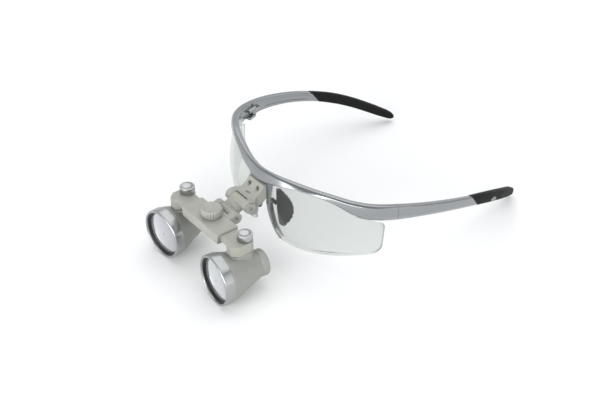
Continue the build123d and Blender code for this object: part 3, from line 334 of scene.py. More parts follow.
def milky_plastic():
    paint = Paint("milky_plastic", (0.72, 0.72, 0.68), 0.5)
    paint.vary_colour(paint.noise(300, 4), 0.04)
    paint.bump(paint.noise(2500, 3), 0.000010)
    return paint.material


add_camera()
add_stage()

LACQUER = silver_lacquer()
BRACKET = blasted_grey("bracket_grey", (0.352, 0.355, 0.319), 0.50, 0.2)
BARREL = blasted_grey("barrel_grey", (0.300, 0.303, 0.281), 0.46, 0.25)
RUBBER = soft_rubber()
PAD = pad_rubber()
STEEL = steel("turned_steel", (0.34, 0.34, 0.32), 0.38)
GLASS = clear_lens()
COATED = coated_glass()
BLACK = black_anodised()
BRASS = machined_brass()
MILKY = milky_plastic()
BADGE = blasted_grey("badge_metal", (0.27, 0.277, 0.274), 0.42, 0.8)


# ---------------------------------------------------------------------
# Mesh helpers
# ---------------------------------------------------------------------
def make_piece(name, points, faces, material, sharp=35):
    """A mesh piece from points in millimetres, smooth except across edges sharper than sharp."""
    mesh = bpy.data.meshes.new(name)
    mesh.from_pydata([Vector(p) * MM for p in points], [], faces)
    build = bmesh.new()
    build.from_mesh(mesh)
    bmesh.ops.remove_doubles(build, verts=build.verts, dist=1e-6)
    bmesh.ops.dissolve_degenerate(build, edges=build.edges, dist=1e-7)
    bare = [edge for edge in build.edges if not edge.link_faces]
    bmesh.ops.delete(build, geom=bare, context="EDGES")
    bmesh.ops.recalc_face_normals(build, faces=build.faces)
    build.to_mesh(mesh)
    build.free()
    mesh.materials.append(material)
    for face in mesh.polygons:
        face.use_smooth = True
    mesh.set_sharp_from_angle(angle=math.radians(sharp))
    piece = bpy.data.objects.new(name, mesh)
    bpy.context.scene.collection.objects.link(piece)
    return piece


def join_shapes(*shapes):
    """Several skins as one list of points and faces."""
    points, faces = [], []
    for shape_points, shape_faces in shapes:
        start = len(points)
        points += list(shape_points)
        faces += [tuple(i + start for i in face) for face in shape_faces]
    return points, faces


def apply_changes(piece):
    """Makes a piece's modifiers part of its mesh."""
    bpy.context.view_layer.update()
    mesh = bpy.data.meshes.new_from_object(piece.evaluated_get(bpy.context.evaluated_depsgraph_get()))
    piece.modifiers.clear()
    piece.data = mesh


def shape_with(piece, operation, *tools):
    """Adds closed skins to a closed piece ("UNION") or takes them out of it ("DIFFERENCE")."""
    for tool in tools:
        other = make_piece("tool", *tool, piece.data.materials[0])
        change = piece.modifiers.new("change", "BOOLEAN")
        change.operation = operation
        change.solver = "MANIFOLD"
        change.object = other
        apply_changes(piece)
        bpy.data.objects.remove(other)


def shade_like(piece, sharp, *skins):
    """Gives a cut piece the smooth shading of the uncut skins wherever it still lies on them."""
    for face in piece.data.polygons:
        face.use_smooth = True
    piece.data.set_sharp_from_angle(angle=math.radians(sharp))
    whole = make_piece("whole", *join_shapes(*skins), piece.data.materials[0], sharp)
    copy = piece.modifiers.new("shading", "DATA_TRANSFER")
    copy.object = whole
    copy.use_loop_data = True
    copy.data_types_loops = {"CUSTOM_NORMAL"}
    copy.loop_mapping = "NEAREST_POLYNOR"
    copy.use_max_distance = True
    copy.max_distance = 0.01 * MM
    apply_changes(piece)
    bpy.data.objects.remove(whole)


def settle(piece, body, slot, *replaced):
    """Puts a finished piece on its body in place of CAD nodes; slot is not used."""
    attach(piece, body)
    if replaced:
        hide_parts(*replaced)
    return piece


def spline(knots, values, at):
    """Natural cubic spline through values at knots, read at the places in at."""
    knots, values, at = (np.asarray(x, float) for x in (knots, values, at))
    gaps = np.diff(knots)
    count = len(knots)
    system = np.eye(count)
    target = np.zeros_like(values)
    shape = (-1, *[1] * (values.ndim - 1))
    for i in range(1, count - 1):
        system[i, i - 1:i + 2] = gaps[i - 1], 2 * (gaps[i - 1] + gaps[i]), gaps[i]
        slopes = np.diff(values[i - 1:i + 2], axis=0) / gaps[i - 1:i + 1].reshape(shape)
        target[i] = 6 * (slopes[1] - slopes[0])
    bends = np.linalg.solve(system, target)
    spot = np.clip(np.searchsorted(knots, at) - 1, 0, count - 2)
    gap = gaps[spot].reshape(shape)
    low = ((at - knots[spot]).reshape(shape)) / gap
    high = 1 - low
    curve = (low**3 - low) * bends[spot + 1] + (high**3 - high) * bends[spot]
    return high * values[spot] + low * values[spot + 1] + curve * gap**2 / 6


def run_line(points, start_run, end_run, count=400):
    """Points along a smooth line with given end directions, evenly spaced, and its directions."""
    points = np.asarray(points, float)
    reach = 0.5
    first = points[0] - np.asarray(start_run) * reach
    last = points[-1] + np.asarray(end_run) * reach
    rail = np.vstack([first, points, last])
    chords = np.concatenate([[0], np.cumsum(np.linalg.norm(np.diff(rail, axis=0), axis=1))])
    fine = spline(chords, rail, np.linspace(chords[1], chords[-2], 4000))
    lengths = np.concatenate([[0], np.cumsum(np.linalg.norm(np.diff(fine, axis=0), axis=1))])
    even = np.linspace(0, lengths[-1], count)
    spots = np.stack([np.interp(even, lengths, fine[:, k]) for k in range(3)], axis=1)
    runs = np.gradient(spots, axis=0)
    return spots, runs / np.linalg.norm(runs, axis=1)[:, None]


def round_corners(outline, radius, steps=3):
    """The closed outline with each corner replaced by a short curve."""
    outline = [Vector(p) for p in outline]
    rounded = []
    for i, corner in enumerate(outline):
        before, after = outline[i - 1] - corner, outline[(i + 1) % len(outline)] - corner
        start = corner + before.normalized() * min(radius, before.length * 0.45)
        stop = corner + after.normalized() * min(radius, after.length * 0.45)
        for k in range(steps + 1):
            t = k / steps
            rounded.append(start * (1 - t) ** 2 + corner * (2 * t * (1 - t)) + stop * t**2)
    return rounded


def bridge_rings(rings):
    """A closed skin over rings that all have the same number of points."""
    size = len(rings[0])
    points = [p for ring in rings for p in ring]
    faces = []
    for r in range(len(rings) - 1):
        for k in range(size):
            a, b = r * size + k, r * size + (k + 1) % size
            faces.append((a, b, b + size, a + size))
    faces.append(tuple(range(size))[::-1])
    faces.append(tuple(range((len(rings) - 1) * size, len(rings) * size)))
    return points, faces


def lathe(profile, segments=128):
    """Rings of a turned shape from (distance along the axis, radius) points, closed on itself."""
    rings = []
    for k in range(segments):
        turn = 2 * math.pi * k / segments
        rings.append([Vector((along, r * math.cos(turn), r * math.sin(turn))) for along, r in profile])
    points = [p for ring in rings for p in ring]
    size = len(profile)
    faces = []
    for s in range(segments):
        for k in range(size):
            a, b = s * size + k, s * size + (k + 1) % size
            c, d = ((s + 1) % segments) * size + (k + 1) % size, ((s + 1) % segments) * size + k
            faces.append((a, b, c, d))
    return points, faces


def prism(outline, low, high, edge=0.25, steps=2):
    """A flat outline raised from low to high, with rounded top and bottom edges."""
    outline = [Vector(p) for p in outline]
    turns = [math.pi / 2 * k / steps for k in range(steps + 1)]
    levels = [(low + edge * (1 - math.cos(turn)), edge * (1 - math.sin(turn))) for turn in turns]
    rings = []
    for z, inset in levels + [(high + low - z, inset) for z, inset in reversed(levels)]:
        rings.append([Vector((*q, z)) for q in inset_outline(outline, inset)])
    return rings


def inset_outline(outline, inset):
    """The closed outline moved inwards by inset along its corner normals."""
    area = sum(a.x * b.y - b.x * a.y for a, b in zip(outline, outline[1:] + outline[:1]))
    side = 1 if area > 0 else -1
    moved = []
    for i, corner in enumerate(outline):
        ahead = (outline[(i + 1) % len(outline)] - corner).normalized()
        behind = (corner - outline[i - 1]).normalized()
        normal = Vector((-ahead.y - behind.y, ahead.x + behind.x)) * side
        if normal.length > 1e-9:
            normal.normalize()
        lean = max(0.4, normal.dot(Vector((-ahead.y, ahead.x)) * side))
        moved.append(corner + normal * inset / lean)
    return moved


# ---------------------------------------------------------------------
# Brow bar and temples
# ---------------------------------------------------------------------
SEAM_RUN = (0.317, 0.936, -0.154)
SEAM = (67.6, -8.0, 42.9)
BROW_POINTS = [(0, -49.6, 50.4), (24, -42.8, 50.9), (45, -33.1, 50.0), (60.3, -21.5, 45.8), SEAM]
TEMPLE_POINTS = [SEAM, (72.0, 15.0, 38.3), (72.0, 41.0, 31.1), (66.0, 70.0, 19.4), (53.4, 98.6, 3.5)]
TIP_RUN = (-0.38, 0.82, -0.43)
# Columns: place along the line, outer face, its lean, inner face, top, lower ledge, bottom, corner.
BROW_SECTIONS = [
    (0.00, -0.8, 2.2, -4.0, 1.7, -4.4, -5.2, 1.0),
    (0.10, -0.4, 1.8, -3.7, 1.8, -3.4, -4.2, 1.0),
    (0.18, 0.3, 1.6, -3.3, 1.6, -2.4, -3.1, 0.9),
    (0.34, 1.3, 1.0, -2.7, 0.9, -1.0, -1.8, 0.8),
    (0.48, 1.6, 0.7, -2.4, 0.8, -1.2, -2.0, 0.8),
    (0.58, 1.7, 0.5, -2.4, 1.3, -1.7, -2.6, 0.8),
    (0.66, 1.8, 0.4, -2.5, 1.9, -2.1, -4.4, 0.9),
    (0.74, 1.8, 0.3, -2.6, 2.8, -2.0, -6.3, 1.0),
    (0.83, 1.6, 0.2, -2.8, 3.7, -1.8, -6.0, 1.0),
    (0.91, 1.4, 0.1, -3.0, 4.2, -1.8, -5.4, 1.0),
    (1.00, 1.1, 0.0, -3.2, 4.3, -1.9, -5.1, 1.0),
]
TEMPLE_SECTIONS = [
    (0.00, 1.1, 0.0, -3.2, 4.3, -1.9, -5.1, 1.0),
    (0.09, 1.3, 0.0, -2.8, 4.0, -1.9, -4.4, 0.9),
    (0.25, 1.7, 0.0, -2.2, 3.5, -1.9, -3.7, 0.8),
    (0.40, 1.8, 0.0, -1.9, 3.3, -1.9, -3.4, 0.8),
    (0.52, 1.8, 0.0, -1.8, 3.2, -1.9, -3.3, 0.8),
]
TIP_START = (71.4, 45.5, 29.6)
TIP_SLANT = math.radians(35)
RECESS_START, RECESS_STOP, RECESS_RAMP = 0.10, 0.44, 0.02
RECESS_DEPTH = 0.5
EDGE_RADIUS = 0.28
SEAM_GAP = 0.12


def section_sizes(sections, places):
    """The seven sizes of a bar section at each place along its line."""
    table = np.asarray(sections, float)
    return spline(table[:, 0], table[:, 1:], places)


def place_ring(spot, run, outline):
    """A section outline (outward, up) set upright across the line at a spot."""
    level = Vector((run[0], run[1], 0)).normalized()
    outward = Vector((level.y, -level.x, 0))
    return [Vector(spot) + outward * x + Vector((0, 0, y)) for x, y in outline]


def bar_outline(sizes, recess=None):
    """Leaning outer face, chamfered top, lower bevel and an inner face that may be let in."""
    outer, lean, inner, top, ledge, bottom, corner = sizes
    bevel = 0.35 * (ledge - bottom)
    high, low = 0.52 * (top - corner), -0.52 * (top - corner)
    panel = []
    if recess is not None:
        panel = [(inner, high + 0.15), (inner + recess, high), (inner + recess, low), (inner, low - 0.15)]
    return round_corners([
        (outer, top - corner),
        (outer - corner, top),
        (inner + corner, top - 0.2),
        (inner, top - corner - 0.2),
        *panel,
        (inner, bottom + corner),
        (inner + corner, bottom),
        (outer + lean - bevel - 0.3, bottom),
        (outer + lean, ledge),
    ], EDGE_RADIUS)


def flat(points):
    return [(p[0], p[1]) for p in points]


def mirror_points(points):
    return [Vector((-p[0], p[1], p[2])) for p in points]


def brow_bar():
    """The brow bar from seam to seam, as one lofted skin."""
    spots, runs = run_line(BROW_POINTS, (1, 0, 0), SEAM_RUN, 141)
    sizes = section_sizes(BROW_SECTIONS, np.linspace(0, 1, len(spots)))
    left = [place_ring(s, r, flat(bar_outline(z))) for s, r, z in zip(spots, runs, sizes)]
    right = [mirror_points(ring) for ring in reversed(left[1:])]
    return bridge_rings(right + left)


STRUT_FRONT = [(7.3, -49.5, 46.5), (7.2, -49.4, 34.2), (7.7, -48.6, 25.8), (9.0, -47.6, 19.2),
               (11.2, -46.7, 14.0), (13.6, -46.1, 11.0)]
STRUT_WIDTHS = [2.8, 2.8, 2.7, 2.6, 2.8, 2.2]
STRUT_DEPTH = 2.9
WEB_LOW, WEB_HIGH = (-7.4, -49.8, 36.0), (7.4, -46.8, 48.0)


def strut(sign):
    """One nose strut, rounded in section, from the bridge down to the lens's lower corner."""
    places = np.linspace(0, 1, 48)
    knots = np.linspace(0, 1, len(STRUT_FRONT))
    fronts = spline(knots, STRUT_FRONT, places)
    widths = spline(knots, STRUT_WIDTHS, places)
    rings = []
    for front, width in zip(fronts, widths):
        half = width / 2
        outline = round_corners([(-half, 0), (half, 0), (half, STRUT_DEPTH), (-half, STRUT_DEPTH)], 0.45)
        rings.append([Vector((sign * (front[0] + x), front[1] + y, front[2])) for x, y in flat(outline)])
    return bridge_rings(rings)


def box_block(low, high, edge=0.3):
    corners = [(low[0], low[1]), (high[0], low[1]), (high[0], high[1]), (low[0], high[1])]
    return bridge_rings(prism(flat(round_corners(corners, edge)), low[2], high[2], edge))


HINGE = joints["temple_left_fold"]["pos_m"]
HINGE_X, HINGE_Y = HINGE[0] / MM, HINGE[1] / MM
HINGE_LEVELS = (38.2, 40.0, 42.9, 44.7)
KNUCKLE, HINGE_GAP = 1.8, 0.15
SCREW_BORE, SCREW_HEAD, HEAD_LOW = 0.75, 1.15, 44.0
BORE_LOW, BORE_HIGH = 30, 50        # well past the knuckles at both ends
SEAM_TURN = math.radians(71.3)


def knuckle(sign, low, high, arm):
    """A hinge knuckle: a barrel about the hinge axis with a tang that runs arm mm along the line."""
    ahead = Vector((math.cos(SEAM_TURN), math.sin(SEAM_TURN))) * math.copysign(1, arm)
    across = Vector((-ahead.y, ahead.x))
    centre = Vector((HINGE_X, HINGE_Y))
    turns = [math.pi * k / 24 for k in range(25)]
    outline = [centre + (across * math.cos(turn) - ahead * math.sin(turn)) * KNUCKLE for turn in turns]
    outline += [centre + ahead * abs(arm) - across * KNUCKLE, centre + ahead * abs(arm) + across * KNUCKLE]
    rings = prism(outline, low, high, 0.15)
    return bridge_rings([[Vector((sign * p.x, p.y, p.z)) for p in ring] for ring in rings])


def hinge_post(sign, *steps):
    """An upright round post about the hinge axis, through (radius, height) steps."""
    turns = [2 * math.pi * k / 64 for k in range(64)]
    rings = []
    for radius, z in steps:
        circle = [(HINGE_X + radius * math.cos(turn), HINGE_Y + radius * math.sin(turn)) for turn in turns]
        rings.append([Vector((sign * x, y, z)) for x, y in circle])
    return bridge_rings(rings)


brow = make_piece("brow_frame", *brow_bar(), LACQUER, 24)
FRAME_ROOM = KNUCKLE + HINGE_GAP
middle_levels = [(FRAME_ROOM, z) for z in HINGE_LEVELS[1:3]]
knuckle_rooms = [hinge_post(sign, *middle_levels) for sign in (-1, 1)]
shape_with(brow, "DIFFERENCE", *knuckle_rooms)
knuckles = [knuckle(sign, *HINGE_LEVELS[level:level + 2], -5.5) for sign in (-1, 1) for level in (0, 2)]
added = [box_block(WEB_LOW, WEB_HIGH), strut(-1), strut(1), *knuckles]
shape_with(brow, "UNION", *added)
settle(brow, "frame", "frame_silver", "front_frame")

TIP_NORMAL = Vector((0, math.cos(TIP_SLANT), math.sin(TIP_SLANT)))


def cut_piece(points, faces, spot, normal):
    """The part of a skin behind a plane, closed where it is cut."""
    build = bmesh.new()
    made = [build.verts.new(Vector(p)) for p in points]
    for face in faces:
        build.faces.new([made[i] for i in face])
    everything = build.verts[:] + build.edges[:] + build.faces[:]
    bmesh.ops.bisect_plane(build, geom=everything, plane_co=spot, plane_no=normal, clear_outer=True)
    rim = [e for e in build.edges if e.is_boundary]
    bmesh.ops.holes_fill(build, edges=rim)
    build.verts.index_update()
    cut_points = [v.co.copy() for v in build.verts]
    cut_faces = [tuple(v.index for v in f.verts) for f in build.faces]
    build.free()
    return cut_points, cut_faces


def smoothstep(value):
    value = min(1.0, max(0.0, value))
    return value * value * (3 - 2 * value)


def temple(sign):
    """One temple's bar from the seam to the slanted joint with its rubber tip."""
    spots, runs = run_line(TEMPLE_POINTS, SEAM_RUN, TIP_RUN, 241)
    places = np.linspace(0, 1, len(spots))
    keep = places <= TEMPLE_SECTIONS[-1][0]
    sizes = section_sizes(TEMPLE_SECTIONS, places[keep])
    rings = []
    for place, spot, run, size in zip(places, spots[keep], runs[keep], sizes):
        rise = smoothstep((place - RECESS_START) / RECESS_RAMP)
        rise *= smoothstep((RECESS_STOP - place) / RECESS_RAMP)
        rings.append(place_ring(spot, run, flat(bar_outline(size, RECESS_DEPTH * rise))))
    points, faces = cut_piece(*bridge_rings(rings), Vector(TIP_START), TIP_NORMAL)
    seam = Vector(TEMPLE_POINTS[0]) + Vector((math.cos(SEAM_TURN), math.sin(SEAM_TURN), 0)) * SEAM_GAP
    points, faces = cut_piece(points, faces, seam, Vector((-math.cos(SEAM_TURN), -math.sin(SEAM_TURN), 0)))
    if sign < 0:
        points = mirror_points(points)
    return points, faces


TEMPLE_ROOM = KNUCKLE + 0.2
for side, sign in (("left", 1), ("right", -1)):
    piece = make_piece(f"temple_arm_{side}", *temple(sign), LACQUER, 24)
    rooms = []
    for low, high in (HINGE_LEVELS[:2], HINGE_LEVELS[2:]):
        ends = (TEMPLE_ROOM, low - 2 * HINGE_GAP), (TEMPLE_ROOM, high + 2 * HINGE_GAP)
        rooms.append(hinge_post(sign, *ends))
    shape_with(piece, "DIFFERENCE", *rooms)
    middle = knuckle(sign, HINGE_LEVELS[1] + HINGE_GAP, HINGE_LEVELS[2] - HINGE_GAP, 6.0)
    shape_with(piece, "UNION", middle)
    shape_with(piece, "DIFFERENCE", hinge_post(sign, (SCREW_BORE, BORE_LOW), (SCREW_BORE, BORE_HIGH)))
    shade_like(piece, 24, temple(sign), middle)
    settle(piece, f"temple_{side}", "frame_silver", f"temple_{side}")


# ---------------------------------------------------------------------
# Rubber temple tips
# ---------------------------------------------------------------------
# Columns: place along the line, half width, half height.
RUBBER_SECTIONS = [
    (0.36, 2.0, 3.3), (0.48, 2.1, 3.4), (0.60, 2.3, 3.5), (0.75, 2.5, 3.4),
    (0.88, 2.6, 3.2), (0.96, 2.4, 2.7), (0.985, 1.9, 2.1), (1.00, 0.9, 1.0),
]
TIP_GAP = 0.05
TIP_ROUNDING = 0.62      # 1 would be an ellipse, less is squarer


def temple_tip(sign):
    """Soft tip with a rounded oblong section that swells a little and closes at the end."""
    spots, runs = run_line(TEMPLE_POINTS, SEAM_RUN, TIP_RUN, 401)
    places = np.linspace(0, 1, len(spots))
    table = np.asarray(RUBBER_SECTIONS)
    keep = places >= table[0, 0]
    halves = np.stack([np.interp(places[keep], table[:, 0], table[:, k]) for k in (1, 2)], axis=1)
    rings = []
    for spot, run, (width, height) in zip(spots[keep], runs[keep], halves):
        outline = []
        for k in range(40):
            turn = 2 * math.pi * k / 40
            c, s = math.cos(turn), math.sin(turn)
            across = math.copysign(abs(c) ** TIP_ROUNDING, c)
            upward = math.copysign(abs(s) ** TIP_ROUNDING, s)
            outline.append((width * across, height * upward))
        rings.append(place_ring(spot, run, outline))
    start = Vector(TIP_START) + TIP_NORMAL * TIP_GAP
    points, faces = cut_piece(*bridge_rings(rings), start, -TIP_NORMAL)
    return (mirror_points(points) if sign < 0 else points), faces


for side, sign in (("left", 1), ("right", -1)):
    piece = make_piece(f"rubber_tip_{side}", *temple_tip(sign), RUBBER, 40)
    settle(piece, f"temple_{side}", "black_rubber", f"temple_tip_{side}")


# ---------------------------------------------------------------------
# Clear lenses
# ---------------------------------------------------------------------
LENS_CENTRE = Vector((10.3, 13.5, 29.7))
LENS_RADIUS, LENS_THICKNESS = 62.0, 2.0
LENS_TURN = math.radians(34)
LENS_TOP = [(16.6, 10.6), (12.0, 16.6), (-5.0, 20.3), (-22.0, 20.1), (-35.6, 16.0)]
LENS_NOSE = [(-35.6, 16.0), (-36.7, -1.0), (-35.3, -10.0), (-33.3, -15.8)]
LENS_BOTTOM = [(-30.7, -20.1), (-16.8, -19.6), (1.5, -16.9), (23.0, -13.9)]


def flow(points, count):
    """Points along a smooth plane curve through points."""
    points = np.asarray(points, float)
    chords = np.concatenate([[0], np.cumsum(np.linalg.norm(np.diff(points, axis=0), axis=1))])
    return [Vector(p) for p in spline(chords, points, np.linspace(0, chords[-1], count))]


def bend_corner(start, corner, stop, count=8):
    """Points of a rounded corner between two points, without its ends."""
    start, corner, stop = Vector(start), Vector(corner), Vector(stop)
    places = [(k + 1) / (count + 1) for k in range(count)]
    return [start * (1 - t) ** 2 + corner * 2 * t * (1 - t) + stop * t**2 for t in places]


def lens_outline():
    """The lens edge, counter-clockwise from the lower nose corner, in the lens's own plane."""
    outline = flow(LENS_BOTTOM, 36)
    outline += bend_corner((23.0, -13.9), (28.2, -13.2), (29.0, -7.8))
    outline += [Vector((29.0, -7.8)), Vector((29.35, -2.1)), Vector((29.7, 3.6))]
    outline += bend_corner((29.7, 3.6), (29.8, 6.4), (26.5, 7.4))
    outline += [Vector((26.5, 7.4)), Vector((21.5, 9.0))]
    outline += flow(LENS_TOP, 36)
    outline += flow(LENS_NOSE, 24)[1:]
    outline += bend_corner((-33.3, -15.8), (-32.3, -20.0), (-30.7, -20.1))
    return outline


def clear_shell(sign):
    """Spherical shell over the lens outline, with a rounded rim."""
    outline = lens_outline()
    centre = Vector((-3.0, -1.0))
    across = Vector((math.cos(LENS_TURN), math.sin(LENS_TURN), 0))
    ahead = Vector((math.sin(LENS_TURN), -math.cos(LENS_TURN), 0))

    def on_sphere(flat_point, radius):
        depth = math.sqrt(radius**2 - flat_point.x**2 - flat_point.y**2)
        return LENS_CENTRE + across * flat_point.x + Vector((0, 0, flat_point.y)) + ahead * depth

    rounding = 0.35
    face_share = 0.985
    inner_radius = LENS_RADIUS - LENS_THICKNESS
    rings = []
    shares = [k / 16 for k in range(1, 17)]
    for share in shares:
        rings.append([on_sphere(centre + (p - centre) * share * face_share, LENS_RADIUS) for p in outline])
    for k in range(1, 8):
        turn = math.pi * k / 8
        inset = rounding * (1 - math.sin(turn))
        radius = LENS_RADIUS - LENS_THICKNESS / 2 + LENS_THICKNESS / 2 * math.cos(turn)
        rings.append([on_sphere(q, radius) for q in inset_outline(outline, inset)])
    for share in reversed(shares):
        ring = [on_sphere(centre + (p - centre) * share * face_share, inner_radius) for p in outline]
        rings.append(ring)
    points, faces = bridge_rings(rings)
    return (mirror_points(points) if sign < 0 else points), faces


for side, sign in (("left", 1), ("right", -1)):
    piece = make_piece(f"lens_shell_{side}", *clear_shell(sign), GLASS, 60)
    settle(piece, "frame", "clear_lens", f"lens_{side}")


# ---------------------------------------------------------------------
# Turned pieces: front rings, retaining rings and pivot caps
# ---------------------------------------------------------------------
body_of = {node: body for body, held in frame["record"]["behaviour"]["bodies"].items() for node in held}
PIVOT_X, PIVOT_Y, AXIS_Z = 27.3, -79.0, 14.5
TOE_IN = math.radians(4.8)
REAR = Vector((math.sin(TOE_IN), math.cos(TOE_IN), 0))
RING_FRONT, RING_BACK, RING_RADIUS, RING_BORE = -20.3, -14.3, 14.5, 13.1


def rounded_turn(low, high, spot, radius, steps=5):
    """Profile points of a quarter round centred on spot, from angle low to high in degrees."""
    turns = [math.radians(low + (high - low) * k / steps) for k in range(steps + 1)]
    return [(spot[0] + radius * math.cos(t), spot[1] + radius * math.sin(t)) for t in turns]


def about_barrel(shape, sign):
    """A turned shape set on the barrel's axis, mirrored for the right side."""
    across = Vector((REAR.y, -REAR.x, 0))
    centre = Vector((PIVOT_X, PIVOT_Y, AXIS_Z))
    points, faces = shape
    placed = [centre + REAR * p.x + across * p.y + Vector((0, 0, p.z)) for p in points]
    return (mirror_points(placed) if sign < 0 else placed), faces


def about_pivot(shape, sign):
    """A turned shape set on the barrel's upright pivot, its first coordinate upwards."""
    points, faces = shape
    return [Vector((sign * (PIVOT_X + p.y), PIVOT_Y + p.z, p.x)) for p in points], faces


def front_ring_profile():
    """Plain band with a rounded lip and a soft rear edge."""
    lip = 0.8
    profile = [(RING_BACK, RING_BORE), (RING_BACK, RING_RADIUS - 0.4)]
    profile += rounded_turn(0, 90, (RING_BACK - 0.4, RING_RADIUS - 0.4), 0.4, 4)[1:]
    profile += rounded_turn(90, 180, (RING_FRONT + lip, RING_RADIUS - lip), lip, 7)
    profile += [(RING_FRONT, RING_BORE + 0.25), (RING_FRONT + 0.25, RING_BORE)]
    return profile


def retaining_ring_profile():
    """Cone that leads in to the objective, cut with fine thread-like steps."""
    front, back, wide, narrow, steps = -19.4, -17.95, 12.7, 11.9, 5
    profile = [(back, RING_BORE), (front, RING_BORE), (front, wide)]
    for k in range(steps):
        spot = front + 1.1 * (k + 1) / steps
        radius = wide + (narrow - wide) * (k + 1) / steps
        profile += [(spot - 0.12, radius), (spot - 0.06, radius + 0.09), (spot, radius)]
    return profile + [(back, narrow)]


def pivot_cap_profile():
    """Shank and cap, with a soft rim round a shallow dish."""
    shank, foot, low, high, radius = 1.5, 23.5, 34.05, 38.3, 4.25
    profile = [(foot, 0), (foot, shank), (low, shank), (low, radius - 0.25), (low + 0.25, radius)]
    for along, out in rounded_turn(90, 0, (high - 0.5, radius - 0.5), 0.5, 4):
        profile.append((along, out))
    profile += [(high, 3.45), (high - 0.12, 3.25)]
    for k in range(1, 8):
        turn = math.pi / 2 * k / 7
        profile.append((high - 0.12 - 0.75 * math.sin(turn), 3.25 * math.cos(turn)))
    return profile


for side, sign in (("left", 1), ("right", -1)):
    seat = mounts[f"front_cap_seat_{side}"]
    bright = turned_metal(f"turned_ring_{side}", (0.40, 0.41, 0.408), 0.30, seat["pos_m"], seat["axis"])
    shape = about_barrel(lathe(front_ring_profile(), 160), sign)
    piece = make_piece(f"front_ring_turned_{side}", *shape, bright, 50)
    settle(piece, body_of[f"front_ring_{side}"], "bright_metal", f"front_ring_{side}")
    shape = about_barrel(lathe(retaining_ring_profile(), 160), sign)
    piece = make_piece(f"retaining_thread_{side}", *shape, BLACK, 30)
    settle(piece, body_of[f"retaining_ring_{side}"], "stop_black", f"retaining_ring_{side}")
    pivot = joints[f"converge_{side}"]
    bright = turned_metal(f"turned_cap_{side}", (0.44, 0.45, 0.445), 0.30, pivot["pos_m"], pivot["axis"])
    shape = about_pivot(lathe(pivot_cap_profile(), 96), sign)
    piece = make_piece(f"pivot_cap_dished_{side}", *shape, bright, 50)
    settle(piece, body_of[f"pivot_cap_{side}"], "bright_metal", f"pivot_cap_{side}")


# ---------------------------------------------------------------------
# Width knob
# ---------------------------------------------------------------------
KNOB_Y, KNOB_RADIUS, KNOB_BOTTOM_Z, KNOB_TOP_Z, KNOB_RIDGES = -81.3, 5.9, 35.45, 40.2, 24
RIDGE_DEPTH = 0.42


def ribbed_knob():
    """Knob with rounded ribs round its side, a soft rim and a shallow dished top."""
    # Columns: height, radius, share of the grooves' depth.
    levels = [(KNOB_BOTTOM_Z, 5.2, 0), (36.0, 5.2, 0), (36.05, KNOB_RADIUS - 0.15, 1),
              (36.2, KNOB_RADIUS, 1), (39.35, KNOB_RADIUS, 1), (39.8, 5.72, 0.7),
              (40.05, 5.45, 0.25), (KNOB_TOP_Z, 5.1, 0), (KNOB_TOP_Z, 4.75, 0),
              (39.95, 4.45, 0), (39.85, 3.9, 0), (39.82, 0, 0)]
    per_rib = 12
    rings = []
    for z, radius, cut in levels:
        ring = []
        for k in range(KNOB_RIDGES * per_rib):
            turn = 2 * math.pi * k / (KNOB_RIDGES * per_rib)
            groove = (0.5 - 0.5 * math.cos(KNOB_RIDGES * turn)) ** 2.2
            reach = radius - RIDGE_DEPTH * cut * groove
            ring.append(Vector((reach * math.cos(turn), KNOB_Y + reach * math.sin(turn), z)))
        rings.append(ring)
    return bridge_rings(rings)


knob = make_piece("ribbed_knob", *ribbed_knob(), BRACKET, 50)
settle(knob, "knob", "bracket_grey", "pd_knob")


# ---------------------------------------------------------------------
# Scalloped nose pads
# ---------------------------------------------------------------------
PAD_ORIGIN = Vector((9.4, -45.4, 31.0))
PAD_SPLAY = math.radians(65)
PAD_THICKNESS, PAD_SCALLOPS = 2.2, 10
SCALLOP_BASE, SCALLOP_DEPTH = 0.45, 1.05
PAD_RIM = [(1.4, 10.0), (6.0, 3.6), (8.8, -4.0), (7.6, -9.6), (3.6, -14.0)]
PAD_HEEL = [(1.9, -13.0), (0.9, -4.0), (0.6, 10.6)]


PAD_LUG = (6.0, -46.1, 31.7), (10.2, -44.8, 34.3)


def pad_outline():
    """Row of scallops along the rim, closed by the pad's straight heel."""
    per_scallop = 10
    rim = flow(PAD_RIM, PAD_SCALLOPS * per_scallop + 1)
    spacing = sum((b - a).length for a, b in zip(rim, rim[1:])) / PAD_SCALLOPS
    outline = []
    for k, spot in enumerate(rim):
        run = (rim[min(k + 1, len(rim) - 1)] - rim[max(k - 1, 0)]).normalized()
        off = ((k / per_scallop) % 1 - 0.5) * spacing
        bulge = SCALLOP_BASE + SCALLOP_DEPTH * math.sqrt(1 - (1.96 * off / spacing) ** 2)
        outline.append(spot + Vector((-run.y, run.x)) * bulge)
    return outline + flow(PAD_HEEL, 16)


def nose_pad(sign):
    x_dir = Vector((math.cos(PAD_SPLAY), math.sin(PAD_SPLAY), 0))
    z_dir = Vector((x_dir.y, -x_dir.x, 0))
    rings = prism(pad_outline(), -PAD_THICKNESS / 2, PAD_THICKNESS / 2, 0.35, 3)
    rings = [[PAD_ORIGIN + x_dir * p.x + Vector((0, 0, p.y)) + z_dir * p.z for p in ring] for ring in rings]
    points, faces = join_shapes(bridge_rings(rings), box_block(*PAD_LUG))
    return (mirror_points(points) if sign < 0 else points), faces


for side, sign in (("left", 1), ("right", -1)):
    piece = make_piece(f"scalloped_pad_{side}", *nose_pad(sign), PAD, 40)
    settle(piece, "frame", "black_rubber", f"nose_pad_{side}")


